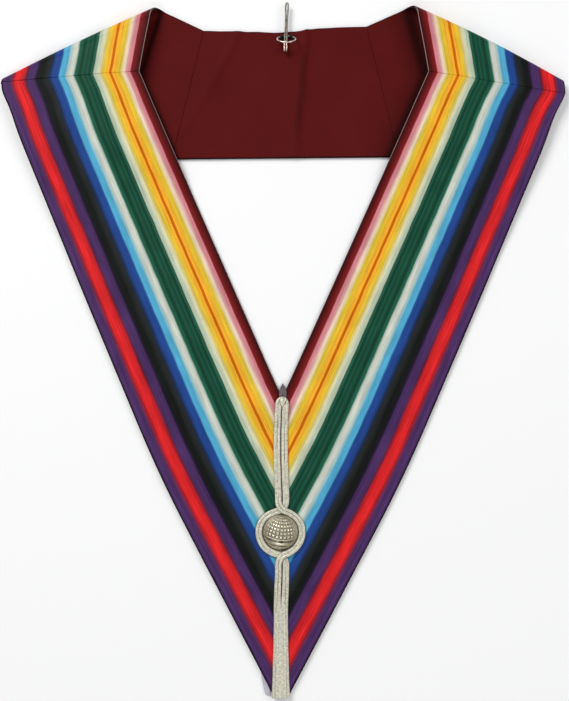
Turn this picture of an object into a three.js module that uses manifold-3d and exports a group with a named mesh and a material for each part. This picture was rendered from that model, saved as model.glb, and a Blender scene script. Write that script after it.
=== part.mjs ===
// Striped collar laid flat on its back: a four inch ribbon with a plain lining, folded over at
// both shoulders, with a doubled braid and a domed button on the centre seam.
// Millimetres, Z up, +Y towards the neck, and the table at z = 0. Right is +X.
// The drawing origin is the notch of the V; the whole is moved to its box's bottom centre last.
import * as THREE from "three";
import Module from "manifold-3d";

const wasm = await Module();
wasm.setup();
const DEG = Math.PI / 180;

// Driving sizes, mm and degrees
const ribbonWidth = 101.6;
const ribbonWall = 1.1;
const liningWall = 1.0;
const gap = 0.3;
const shoulderSpan = 46;
const shoulderRise = 38.6;
const backDepth = 103;
const frontLength = 266.6;
const shoulderRear = 35;
const foldRadiusNeck = 5.8;
const foldRadiusOuter = 1.4;
const settleLength = 150;
const waveHeight = 0.8;
const waveLength = 42;
const waveOnset = 6;
const pointHalfWidth = 7.3;
const cornerLength = 14;
const strandWidth = 4.9;
const strandHeight = 1.8;
const strandGap = 0.7;
const ringMid = 15.1;
const braidRise = 1.9;
const braidAside = 0.8;
const tailAside = -0.7;
const tailOver = 1.5;
const buttonBelow = 93.6;
const buttonAside = -1;
const buttonRadius = 12.3;
const buttonHeight = 7.2;
const rimHeight = 1.5;
const tabWidth = 5.8;
const tabAside = 0.6;
const tabRise = 10.6;
const tabDrop = 14;
const tabWall = 1;
const tabEase = 8;
const neckRingMid = 6.9;
const neckRingWire = 0.6;
const neckRingTilt = 57.7;
const neckRingIn = 6.2;
const fittingAside = 3.2;
const hookWire = 0.55;
const hookLength = 39;
const threadWire = 0.4;
const threadApart = 33;

// Each side: shares of the sizes above, then angles in degrees, the corner's share of its length and
// the outward bow of the fold as a share of the ribbon's width
const sides = {
  right: { sign: 1, span: 0.973, rise: 1.046, front: 0.9985, rear: 0.97, lean: 12.6, turn: 25.2, fold: 27.4,
    seam: 8.4, angle: 24.06, bend: 4.6, corner: 0.1, bow: 0.019 },
  left: { sign: -1, span: 1.024, rise: 0.955, front: 1.0025, rear: 1.03, lean: 12.4, turn: 26.6, fold: 26.7,
    seam: 4.4, angle: 23.61, bend: 4.8, corner: 0.3, bow: 0.011 },
};
// The bend of the lower fronts, as shares of the ribbon's width before and past the notch
const bendFrom = -0.345;
const bendTo = 0.59;
// Top edge of the back panel: share of the half length, rise as a share of the ribbon's width
const backTopRise = [
  [-1, 0], [-0.5, -0.012], [-0.1, -0.026], [0.1, -0.024], [0.45, -0.004], [0.7, 0], [1, 0],
];
// Soft creases of the back lining: share across, lean, width and height as shares of the ribbon's width
const backCreases = [
  { at: 0.16, lean: 0.06, width: 0.07, height: 0.007 },
  { at: -0.44, lean: -0.42, width: 0.06, height: 0.004 },
  { at: 0.78, lean: -0.1, width: 0.09, height: 0.006 },
];
// Path of a strand past the button, as shares of ringMid: across, up, and its lift as a share of the strand
const crossing = [
  { x: -0.205, y: 2.0, lift: 0 },
  { x: -0.2, y: 1.72, lift: 0.45 },
  { x: -0.165, y: 1.42, lift: 1 },
  { x: 0.03, y: 1.15, lift: 1 },
  { x: 0.26, y: 0.966, lift: 1 },
  { x: 0.573, y: 0.82, lift: 0.4 },
  { x: 0.827, y: 0.563, lift: 0 },
  { x: 0.966, y: 0.26, lift: 0 },
  { x: 1, y: 0, lift: 0 },
];
// Strand section: share of the width across, share of the height up
const strandSection = [[-0.5, 0], [0.5, 0], [0.5, 0.5], [0.26, 1], [0, 0.7], [-0.26, 1], [-0.5, 0.5]];
// Tail below the button: share of the way down, share of the strand's width, share of the gap
const tailRows = [
  [0, 1, 1], [0.2, 1.02, 1], [0.4, 1.05, 0.7], [0.6, 1.08, 0.5], [0.8, 1.15, 0.45], [1, 1.24, 0.45],
];
// Hook seen from the side: share of its length from the eye, half spacing and height in wire radii
const hookRows = [
  [0, 0, 8.9], [0.012, 1.1, 8.9], [0.06, 1.9, 8.9], [0.18, 1.8, 8.9], [0.27, 1.3, 8.9], [0.45, 1.35, 8.9],
  [0.56, 2.2, 8.9], [0.75, 2.3, 8.6], [0.92, 2.3, 8.4], [0.97, 2.3, 9.6], [0.986, 2.3, 12], [0.97, 2.3, 15],
  [0.92, 2.3, 17], [0.86, 2.1, 17.4], [0.82, 1.2, 17.4], [0.81, 0, 17.4],
];

const thickness = liningWall + gap + ribbonWall;
const smooth = (t) => {
  const c = Math.min(1, Math.max(0, t));
  return c * c * (3 - 2 * c);
};
const mix = (a, b, t) => a + (b - a) * t;

// Piecewise value of a short table of rows [key, value...]
function fromTable(rows, key, column) {
  let k = 0;
  while (k < rows.length - 2 && rows[k + 1][0] < key) k += 1;
  const t = (key - rows[k][0]) / (rows[k + 1][0] - rows[k][0]);
  return mix(rows[k][column], rows[k + 1][column], smooth(t));
}

function volumeOf(points, faces) {
  let sum = 0;
  for (const [a, b, c] of faces) {
    const [p, q, r] = [points[a], points[b], points[c]];
    sum += p[0] * (q[1] * r[2] - q[2] * r[1]);
    sum += p[1] * (q[2] * r[0] - q[0] * r[2]);
    sum += p[2] * (q[0] * r[1] - q[1] * r[0]);
  }
  return sum / 6;
}

// One closed body facing out, from points and triangles
function bodyOf(points, faces) {
  const out = volumeOf(points, faces) > 0 ? faces : faces.map(([a, b, c]) => [a, c, b]);
  const geometry = new THREE.BufferGeometry();
  geometry.setAttribute("position", new THREE.Float32BufferAttribute(points.flat(), 3));
  geometry.setIndex(out.flat());
  geometry.computeVertexNormals();
  return geometry;
}

// A sheet with two faces and four edges: at(i, j, face) gives a point, face 0 inner and 1 outer
function sheetBody(across, along, at) {
  const points = [];
  for (const face of [0, 1])
    for (let j = 0; j <= along; j += 1)
      for (let i = 0; i <= across; i += 1) points.push(at(i, j, face));
  const layer = (across + 1) * (along + 1);
  const id = (i, j, face) => face * layer + j * (across + 1) + i;
  const faces = [];
  const quad = (a, b, c, d) => faces.push([a, b, c], [a, c, d]);
  for (let j = 0; j < along; j += 1)
    for (let i = 0; i < across; i += 1) {
      quad(id(i, j, 1), id(i + 1, j, 1), id(i + 1, j + 1, 1), id(i, j + 1, 1));
      quad(id(i, j, 0), id(i, j + 1, 0), id(i + 1, j + 1, 0), id(i + 1, j, 0));
    }
  for (let i = 0; i < across; i += 1) {
    quad(id(i, 0, 0), id(i + 1, 0, 0), id(i + 1, 0, 1), id(i, 0, 1));
    quad(id(i + 1, along, 0), id(i, along, 0), id(i, along, 1), id(i + 1, along, 1));
  }
  for (let j = 0; j < along; j += 1) {
    quad(id(0, j + 1, 0), id(0, j, 0), id(0, j, 1), id(0, j + 1, 1));
    quad(id(across, j, 0), id(across, j + 1, 0), id(across, j + 1, 1), id(across, j, 1));
  }
  return bodyOf(points, faces);
}

// A bar along stations, each a ring of section points; closed joins the last to the first
function barBody(rings, closed) {
  const points = rings.flat();
  const n = rings[0].length;
  const count = rings.length;
  const faces = [];
  for (let j = 0; j < (closed ? count : count - 1); j += 1)
    for (let i = 0; i < n; i += 1) {
      const a = j * n + i;
      const b = j * n + ((i + 1) % n);
      const c = ((j + 1) % count) * n + ((i + 1) % n);
      const d = ((j + 1) % count) * n + i;
      faces.push([a, b, c], [a, c, d]);
    }
  if (!closed) {
    for (let i = 1; i < n - 1; i += 1) {
      faces.push([0, i + 1, i]);
      faces.push([(count - 1) * n, (count - 1) * n + i, (count - 1) * n + i + 1]);
    }
  }
  return bodyOf(points, faces);
}

// The layout of one side, worked out in the plane as if it were the right one
function layout(side) {
  const add = (p, d, k) => [p[0] + d[0] * k, p[1] + d[1] * k];
  const dot = (a, b) => a[0] * b[0] + a[1] * b[1];
  const turn = side.turn * DEG;
  const slope = side.fold * DEG;
  const lean = side.lean * DEG;
  const angle = side.angle * DEG;
  const seam = side.seam * DEG;
  const seamIn = [frontLength * side.front * Math.sin(angle), frontLength * side.front * Math.cos(angle)];
  const backIn = [seamIn[0] - shoulderSpan * side.span, seamIn[1] + shoulderRise * side.rise];
  const backOut = [backIn[0] + backDepth * Math.tan(lean), backIn[1] - backDepth];
  const rearDir = [Math.cos(turn), Math.sin(turn)];
  const rearUp = [-Math.sin(turn), Math.cos(turn)];
  const foldDir = [Math.cos(slope), -Math.sin(slope)];
  const foldIn = [-Math.sin(slope), -Math.cos(slope)];
  const foldStart = add(backIn, rearDir, shoulderRear * side.rear);
  const cross = turn + slope;
  const foldLength = ribbonWidth / Math.sin(cross);
  const seamDir = [Math.cos(seam), -Math.sin(seam)];
  const seamUp = [Math.sin(seam), Math.cos(seam)];
  const frontDir = [-Math.sin(angle), -Math.cos(angle)];
  const frontOut = [Math.cos(angle), -Math.sin(angle)];

  // Radius of the fold's inner face, from the neck end to the outer end
  const innerRadius = (share) => mix(foldRadiusNeck, foldRadiusOuter, Math.min(1, Math.max(0, share)));
  // Height of the underside of the upper layer over the table
  const underside = (p) => {
    const rel = [p[0] - foldStart[0], p[1] - foldStart[1]];
    const inward = dot(rel, foldIn);
    const alongFold = dot(rel, foldDir);
    const middle = innerRadius(alongFold / foldLength) + thickness / 2;
    const inside = Math.min(dot([p[0] - backOut[0], p[1] - backOut[1]], rearUp), p[1] - backOut[1]);
    const reach = 0.28 * ribbonWidth;
    const support = (thickness + 1.5 * gap) * smooth((inside + reach) / reach);
    const past = Math.min(1, Math.max(0, (inward - middle) / settleLength));
    const fall = 0.5 * (1 + Math.cos(Math.PI * past));
    const wave = waveHeight * 0.5 * (1 - Math.cos((2 * Math.PI * alongFold) / waveLength));
    return support + (2 * middle - support) * fall + wave * fall * smooth(past * waveOnset);
  };
  // Middle of the ribbon's outer edge is pulled in a little near the outer corner
  const offsetAt = (u, past) => {
    const t = Math.max(0, 1 - past / cornerLength);
    return ribbonWidth * u - side.corner * cornerLength * u ** 4 * t * t;
  };
  // Point on the front seam for a share across the ribbon
  const seamPoint = (u) => add(seamIn, seamDir, offsetAt(u, 0) / dot(seamDir, frontOut));

  // The front strip's inner line, straight and then bent a little past the notch
  const straight = frontLength * side.front;
  const bendAngle = (s) => {
    const from = straight + bendFrom * ribbonWidth;
    const to = straight + bendTo * ribbonWidth;
    return angle + side.bend * DEG * smooth((s - from) / (to - from));
  };
  const step = 2;
  const line = [seamIn];
  const reachAll = straight + ribbonWidth * 3.4;
  for (let s = step / 2; s < reachAll; s += step) {
    const a = bendAngle(s);
    line.push(add(line[line.length - 1], [-Math.sin(a), -Math.cos(a)], step));
  }
  const stripPoint = (s, off) => {
    const k = Math.min(line.length - 2, Math.max(0, Math.floor(s / step)));
    const t = s / step - k;
    const p = [mix(line[k][0], line[k + 1][0], t), mix(line[k][1], line[k + 1][1], t)];
    const a = bendAngle(s);
    return add(p, [Math.cos(a), -Math.sin(a)], off);
  };
  const zCross = (a, b) => a[0] * b[1] - a[1] * b[0];
  const startOf = (u) => {
    const k = zCross(frontDir, seamDir);
    return (-offsetAt(u, 0) * zCross(frontOut, seamDir)) / k + (0.5 * gap) / Math.abs(k);
  };
  // How far along the line at share u a point stays inside, found by halving
  const reachOf = (u, inside) => {
    let low = startOf(u);
    let high = reachAll - step;
    for (let k = 0; k < 40; k += 1) {
      const middle = (low + high) / 2;
      if (inside(stripPoint(middle, ribbonWidth * u))) low = middle;
      else high = middle;
    }
    return low;
  };
  // The point of the V is cut straight across where its outer edge comes close to the centre seam
  const bottom = stripPoint(reachOf(1, (p) => p[0] > pointHalfWidth), ribbonWidth)[1];
  const endOf = (u) => reachOf(u, (p) => p[0] > 0.5 * gap && p[1] > bottom);
  return {
    side, add, backIn, backOut, foldDir, foldIn, foldStart, foldLength, cross, seamUp,
    innerRadius, underside, offsetAt, seamPoint, stripPoint, startOf, endOf, bottom,
  };
}

// Heights of the two faces of a sheet, counted from the lining's inner face
const liningFaces = [0, liningWall];
const ribbonFaces = [liningWall + gap, thickness];

// Upper surface of a front, from the front seam to the centre seam
function frontBody(plan, faces) {
  const along = 22;
  // The share across whose line ends in the corner between the centre seam and the cut
  let low = 0.5;
  let high = 1;
  for (let k = 0; k < 30; k += 1) {
    const u = (low + high) / 2;
    const end = plan.stripPoint(plan.endOf(u), ribbonWidth * u);
    if (end[0] < 0.75 * gap) low = u;
    else high = u;
  }
  const shares = [0, 1, 2, 3, 4, 5, 6].map((k) => (low * k) / 6);
  shares.push(1);
  const across = shares.length - 1;
  return sheetBody(across, along, (i, j, face) => {
    const u = shares[i];
    const start = plan.startOf(u);
    const s = mix(start, plan.endOf(u), j / along);
    const p = plan.stripPoint(s, plan.offsetAt(u, s - start));
    return [plan.side.sign * p[0], p[1], plan.underside(p) + faces[face]];
  });
}

// A shoulder: flat on the table, round the fold, then over and down to the front seam
function shoulderBody(plan, faces) {
  const rearRows = 3;
  const foldRows = 10;
  const upperRows = 5;
  const across = 7;
  const { add, foldStart, foldDir, foldIn, foldLength, cross } = plan;
  return sheetBody(across, rearRows + foldRows + upperRows, (i, j, face) => {
    const u = i / across;
    const h = faces[face];
    const inner = plan.innerRadius(u);
    const middle = inner + thickness / 2;
    const base = u * foldLength - middle / Math.tan(cross);
    const onFold = (theta, radius) => {
      const alongFold = base + (middle * (theta + Math.PI / 2)) / Math.tan(cross);
      const bow = plan.side.bow * ribbonWidth * Math.sin(Math.PI * u);
      const inward = middle - radius * Math.cos(theta) - bow;
      return add(add(foldStart, foldDir, alongFold), foldIn, inward);
    };
    let p;
    let z;
    if (j <= rearRows) {
      const lean = (plan.backOut[0] - plan.backIn[0]) * u;
      const start = [plan.backIn[0] + lean + 0.5 * gap, plan.backIn[1] - backDepth * u];
      const end = onFold(-Math.PI / 2, middle);
      const t = j / rearRows;
      p = [mix(start[0], end[0], t), mix(start[1], end[1], t)];
      z = thickness - h;
    } else if (j <= rearRows + foldRows) {
      const theta = -Math.PI / 2 + (Math.PI * (j - rearRows)) / foldRows;
      p = onFold(theta, inner + h);
      z = thickness + inner + (inner + h) * Math.sin(theta);
    } else {
      const t = (j - rearRows - foldRows) / upperRows;
      const start = onFold(Math.PI / 2, middle);
      const end = add(plan.seamPoint(u), plan.seamUp, 0.5 * gap);
      p = [mix(start[0], end[0], t), mix(start[1], end[1], t)];
      z = plan.underside(p) + h;
    }
    return [plan.side.sign * p[0], p[1], z];
  });
}

// The back panel between the two back seams, face down
function backBody(left, right, faces, creased) {
  const across = 18;
  const along = 5;
  return sheetBody(across, along, (i, j, face) => {
    const u = i / across;
    const v = j / along;
    const x0 = -mix(left.backIn[0], left.backOut[0], v) + 0.5 * gap;
    const x1 = mix(right.backIn[0], right.backOut[0], v) - 0.5 * gap;
    const rise = fromTable(backTopRise, 2 * u - 1, 1) * ribbonWidth * (1 - v);
    const high = mix(left.backIn[1], right.backIn[1], u);
    const low = mix(left.backOut[1], right.backOut[1], u);
    const y = mix(high, low, v) + rise;
    let lift = 0;
    if (creased)
      for (const c of backCreases) {
        const off = 2 * u - 1 - c.at - c.lean * (0.5 - v);
        lift += c.height * ribbonWidth * Math.exp(-((off / c.width) ** 2) / 2) * (1 - 0.5 * v);
      }
    return [mix(x0, x1, u), y, thickness - faces[face] + lift];
  });
}

const plans = { left: layout(sides.left), right: layout(sides.right) };
const backTop = (plans.left.backIn[1] + plans.right.backIn[1]) / 2;
const braidFall = tailOver - Math.min(plans.left.bottom, plans.right.bottom);

// The doubled braid: up one tail, over at the button, round the notch end and down the other
function braidBody() {
  const half = (strandWidth + strandGap) / 2;
  const cx = buttonAside;
  const cy = -buttonBelow;
  const overLift = strandHeight + gap;
  const top = braidRise - strandWidth / 2 - half;
  const topLift = (y) => (tabWall + gap) * smooth((y + tabDrop + gap) / tabEase + 1);
  const lower = crossing.slice(0, -1).reverse().map((r) => ({ x: r.x, y: -r.y, lift: r.lift }));
  const knots = [...crossing, ...lower].map((r) => new THREE.Vector3(r.x, r.y, r.lift));
  const curve = new THREE.CatmullRomCurve3(knots, false, "centripetal");
  const round = curve.getPoints(44);
  const strand = (sign, over) => {
    const rows = [];
    const loopTop = cy + crossing[0].y * ringMid;
    const upper = 6;
    for (let k = 0; k < upper; k += 1) {
      const y = mix(top, loopTop, k / upper);
      rows.push({ x: mix(braidAside, cx, k / upper) + sign * half, y, w: strandWidth, lift: topLift(y) });
    }
    for (const p of round) {
      const x = cx - sign * p.x * ringMid;
      rows.push({ x, y: cy + p.y * ringMid, w: strandWidth, lift: over ? Math.max(0, p.z) * overLift : 0 });
    }
    const tailTop = cy - crossing[0].y * ringMid;
    for (let k = 1; k <= 10; k += 1) {
      const t = k / 10;
      const w = strandWidth * fromTable(tailRows, t, 1);
      const between = strandGap * fromTable(tailRows, t, 2);
      const x = mix(cx, tailAside, t) + (sign * (w + between)) / 2;
      rows.push({ x, y: mix(tailTop, -braidFall, t), w, lift: 0 });
    }
    return rows;
  };
  const hairpin = [];
  for (let k = 1; k < 8; k += 1) {
    const a = Math.PI * (1 - k / 8);
    const y = top + half * Math.sin(a);
    hairpin.push({ x: braidAside + half * Math.cos(a), y, w: strandWidth, lift: topLift(y) });
  }
  const path = [...strand(-1, true).reverse(), ...hairpin, ...strand(1, false)];
  const rings = path.map((row, k) => {
    const before = path[Math.max(0, k - 1)];
    const after = path[Math.min(path.length - 1, k + 1)];
    const ends = k === 0 || k === path.length - 1;
    const dx = ends ? 0 : after.x - before.x;
    const dy = ends ? (k === 0 ? 1 : -1) : after.y - before.y;
    const length = Math.hypot(dx, dy);
    const z0 = thickness + gap + row.lift;
    return strandSection.map(([a, b]) => [
      row.x + (a * row.w * dy) / length,
      row.y - (a * row.w * dx) / length,
      z0 + b * strandHeight,
    ]);
  });
  return barBody(rings, false);
}

// Closed manifold solid from a three.js geometry, and back
function solidFrom(geometry) {
  const plain = geometry.index ? geometry.toNonIndexed() : geometry;
  const position = plain.getAttribute("position");
  const keys = new Map();
  const points = [];
  const tris = [];
  for (let k = 0; k < position.count; k += 1) {
    const p = [position.getX(k), position.getY(k), position.getZ(k)].map((v) => Math.round(v * 1e4) / 1e4);
    const key = p.join(",");
    if (!keys.has(key)) {
      keys.set(key, points.length);
      points.push(p);
    }
    tris.push(keys.get(key));
  }
  const faces = [];
  for (let k = 0; k < tris.length; k += 3) {
    const [a, b, c] = tris.slice(k, k + 3);
    if (a !== b && b !== c && a !== c) faces.push([a, b, c]);
  }
  const out = volumeOf(points, faces) > 0 ? faces : faces.map(([a, b, c]) => [a, c, b]);
  return new wasm.Manifold(
    new wasm.Mesh({
      numProp: 3,
      vertProperties: new Float32Array(points.flat()),
      triVerts: new Uint32Array(out.flat()),
    }),
  );
}

function geometryFrom(solid) {
  const mesh = solid.getMesh();
  const geometry = new THREE.BufferGeometry();
  geometry.setAttribute("position", new THREE.BufferAttribute(new Float32Array(mesh.vertProperties), 3));
  geometry.setIndex(new THREE.BufferAttribute(new Uint32Array(mesh.triVerts), 1));
  geometry.computeVertexNormals();
  return geometry;
}

// The button: a rimmed disc with a dome that carries raised meridians and parallels
function buttonBody() {
  const domeRadius = buttonRadius * 0.83;
  const domeHeight = buttonHeight - rimHeight;
  const sphere = (domeRadius ** 2 + domeHeight ** 2) / (2 * domeHeight);
  const centre = buttonHeight - sphere;
  const profile = [
    new THREE.Vector2(0, 0),
    new THREE.Vector2(buttonRadius, 0),
    new THREE.Vector2(buttonRadius, rimHeight * 0.8),
    new THREE.Vector2(buttonRadius * 0.965, rimHeight * 1.25),
    new THREE.Vector2(buttonRadius * 0.9, rimHeight * 1.25),
    new THREE.Vector2(domeRadius, rimHeight * 0.8),
  ];
  const edge = Math.asin(domeRadius / sphere);
  for (let k = 0; k < 5; k += 1) {
    const a = edge * (1 - k / 5);
    profile.push(new THREE.Vector2(sphere * Math.sin(a), centre + sphere * Math.cos(a)));
  }
  profile.push(new THREE.Vector2(0, buttonHeight));
  const lathe = new THREE.LatheGeometry(profile, 28);
  lathe.rotateX(Math.PI / 2);
  let made = solidFrom(lathe);
  const bar = 0.5;
  const sunk = 0.12;
  const keep = new THREE.CylinderGeometry(domeRadius * 0.96, domeRadius * 0.96, buttonHeight * 2, 28);
  keep.rotateX(Math.PI / 2);
  keep.translate(0, 0, rimHeight + buttonHeight);
  const zone = solidFrom(keep);
  const bars = [];
  for (const share of [-0.52, -0.18, 0.18, 0.52]) {
    const parallel = new THREE.TorusGeometry(sphere * Math.sqrt(1 - share * share) - sunk, bar, 4, 20);
    parallel.rotateX(Math.PI / 2);
    parallel.translate(0, sphere * share, centre);
    bars.push(parallel);
    const meridian = new THREE.TorusGeometry(sphere - sunk, bar, 4, 20);
    meridian.rotateY(Math.PI / 2 + Math.asin(share));
    meridian.translate(0, 0, centre);
    bars.push(meridian);
  }
  for (const geometry of bars) made = made.add(solidFrom(geometry).intersect(zone));
  const geometry = geometryFrom(made);
  geometry.rotateZ(6 * DEG);
  geometry.translate(buttonAside, -buttonBelow, thickness + gap);
  return geometry;
}

// A pointed tab standing out behind the top of the braid
function tabBody() {
  const outline = [
    [-0.5, -tabDrop], [0.5, -tabDrop], [0.5, tabRise - tabWidth * 1.1], [0.32, tabRise - tabWidth * 0.5],
    [0, tabRise], [-0.32, tabRise - tabWidth * 0.5], [-0.5, tabRise - tabWidth * 1.1],
  ];
  const z0 = thickness + gap;
  const rings = [z0, z0 + tabWall].map((z) => outline.map(([x, y]) => [tabAside + x * tabWidth, y, z]));
  return barBody(rings, false);
}

// Round wire along a closed or open path
function wireBody(points, radius, steps, closed, sidesOfWire) {
  const curve = new THREE.CatmullRomCurve3(points, closed, "centripetal");
  const frames = curve.computeFrenetFrames(steps, closed);
  const rings = [];
  for (let k = 0; k < (closed ? steps : steps + 1); k += 1) {
    const p = curve.getPointAt(k / steps);
    const ring = [];
    for (let i = 0; i < sidesOfWire; i += 1) {
      const a = (2 * Math.PI * (i + 0.5)) / sidesOfWire;
      const v = p
        .clone()
        .addScaledVector(frames.normals[k], radius * Math.cos(a))
        .addScaledVector(frames.binormals[k], radius * Math.sin(a));
      ring.push([v.x, v.y, v.z]);
    }
    rings.push(ring);
  }
  return barBody(rings, closed);
}

// Where the neck ring stands: its low side on the back panel, its high side towards the point
const ringTilt = neckRingTilt * DEG;
const ringCentre = [
  fittingAside,
  backTop - ribbonWidth * 0.026 - neckRingIn,
  thickness + gap + neckRingWire + neckRingMid * Math.sin(ringTilt),
];
const ringPoint = (a) => [
  ringCentre[0] + neckRingMid * Math.sin(a),
  ringCentre[1] + neckRingMid * Math.cos(a) * Math.cos(ringTilt),
  ringCentre[2] - neckRingMid * Math.cos(a) * Math.sin(ringTilt),
];

function neckRingBody() {
  const points = [];
  for (let k = 0; k < 24; k += 1) points.push(new THREE.Vector3(...ringPoint((2 * Math.PI * k) / 24)));
  return wireBody(points, neckRingWire, 24, true, 6);
}

// A short arch of thread over the ring's low side
function threadBody(sign) {
  const at = ringPoint(sign * threadApart * DEG);
  const reach = neckRingWire + gap + threadWire;
  const foot = thickness + gap + backCreases[0].height * ribbonWidth;
  const points = [new THREE.Vector3(at[0], at[1] + reach, foot)];
  for (let k = 0; k <= 6; k += 1) {
    const a = (Math.PI * k) / 6;
    points.push(new THREE.Vector3(at[0], at[1] + reach * Math.cos(a), at[2] + reach * Math.sin(a)));
  }
  points.push(new THREE.Vector3(at[0], at[1] - reach, foot));
  return wireBody(points, threadWire, 10, false, 5);
}

// The hook: one closed wire bent double, with a narrow eye, lying through the ring
function hookBody() {
  const eyeY = ringCentre[1] + hookLength * 0.78;
  const place = ([share, half, high], sign) =>
    new THREE.Vector3(
      fittingAside + 0.3 * (1 - share) + sign * half * hookWire,
      eyeY - share * hookLength,
      high * hookWire,
    );
  const last = hookRows.length - 1;
  const points = hookRows.map((row) => place(row, 1));
  for (let k = last - 1; k > 0; k -= 1) points.push(place(hookRows[k], -1));
  return wireBody(points, hookWire, 64, true, 6);
}

const group = new THREE.Group();
const colours = {
  ribbon: 0x2a5a9a, lining: 0x5a1412, braid: 0xd8d6c8, metal: 0xb8b4a4, tab: 0x70646a, thread: 0x1c1a1c,
};

function place(name, geometry, kind) {
  const metal = kind === "metal" ? 1 : 0;
  const material = new THREE.MeshStandardMaterial({
    name: name + "_material",
    color: colours[kind],
    metalness: metal,
    roughness: metal ? 0.35 : 0.7,
  });
  const mesh = new THREE.Mesh(geometry, material);
  mesh.name = name;
  group.add(mesh);
}

for (const name of ["left", "right"]) {
  place("ribbon_front_" + name, frontBody(plans[name], ribbonFaces), "ribbon");
  place("lining_front_" + name, frontBody(plans[name], liningFaces), "lining");
  place("ribbon_shoulder_" + name, shoulderBody(plans[name], ribbonFaces), "ribbon");
  place("lining_shoulder_" + name, shoulderBody(plans[name], liningFaces), "lining");
  place("ring_thread_" + name, threadBody(plans[name].side.sign), "thread");
}
place("ribbon_back", backBody(plans.left, plans.right, ribbonFaces, false), "ribbon");
place("lining_back", backBody(plans.left, plans.right, liningFaces, true), "lining");
place("braid", braidBody(), "braid");
place("button", buttonBody(), "metal");
place("point_tab", tabBody(), "tab");
place("neck_ring", neckRingBody(), "metal");
place("neck_hook", hookBody(), "metal");

// The whole is moved so that its origin is the bottom centre of its box
const box = new THREE.Box3().setFromObject(group);
for (const mesh of group.children)
  mesh.geometry.translate(-(box.min.x + box.max.x) / 2, -(box.min.y + box.max.y) / 2, -box.min.z);

export default group;
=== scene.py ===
"""Striped ribbon collar laid flat on its back: two fronts, folded shoulders, a plain lining,
a doubled silver braid round a domed button, and a ring with a wire hook at the neck."""

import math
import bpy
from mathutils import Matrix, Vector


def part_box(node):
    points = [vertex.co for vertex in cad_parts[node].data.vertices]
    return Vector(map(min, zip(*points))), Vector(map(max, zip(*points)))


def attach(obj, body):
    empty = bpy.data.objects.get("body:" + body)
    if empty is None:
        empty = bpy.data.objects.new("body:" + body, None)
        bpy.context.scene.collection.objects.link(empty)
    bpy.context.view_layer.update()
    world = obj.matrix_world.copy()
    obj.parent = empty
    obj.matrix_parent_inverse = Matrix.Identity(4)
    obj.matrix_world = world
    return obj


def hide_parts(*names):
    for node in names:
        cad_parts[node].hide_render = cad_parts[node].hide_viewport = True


bl_info = {
    "name": "Striped ribbon collar",
    "version": (1, 0, 0),
    "blender": (4, 5, 0),
    "location": "3D View > Sidebar > Collar",
    "description": "Builds the cloth, braid, button and neck fittings of a striped collar over its frame",
    "category": "Object",
}

import bpy
import numpy as np

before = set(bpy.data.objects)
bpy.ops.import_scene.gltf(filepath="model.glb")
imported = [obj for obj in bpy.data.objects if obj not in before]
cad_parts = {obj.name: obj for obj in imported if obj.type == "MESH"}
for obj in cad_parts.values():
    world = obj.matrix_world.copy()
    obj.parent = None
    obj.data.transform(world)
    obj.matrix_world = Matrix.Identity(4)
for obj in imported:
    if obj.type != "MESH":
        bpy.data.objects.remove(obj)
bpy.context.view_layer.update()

MM = 0.001
SIDES = ("left", "right")

# Each side of the collar: shares of the common sizes, then angles in degrees; the last two are the near and
# far reach in mm of the painted shadow on the lining beside the neck edges
SIDE_SHARES = {
    "right": dict(sign=1, span=0.973, rise=1.046, front=0.9985, rear=0.97, lean=12.6, turn=25.2,
                  fold=27.4, seam=8.4, angle=24.06, bend=4.6, corner=0.1, bow=0.019, tuck=0.0,
                  deep=1.0, drift=0.0, slip=0.021, shadow_near=7.5, shadow_far=22.0),
    "left": dict(sign=-1, span=1.024, rise=0.955, front=0.9955, rear=1.03, lean=12.4, turn=26.6,
                 fold=25.8, seam=3.5, angle=23.61, bend=4.8, corner=0.3, bow=0.011, tuck=-0.4,
                 deep=0.9835, drift=0.018, slip=0.0, shadow_near=3.0, shadow_far=5.0),
}
BEND_FROM, BEND_TO = -0.345, 0.59
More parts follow.
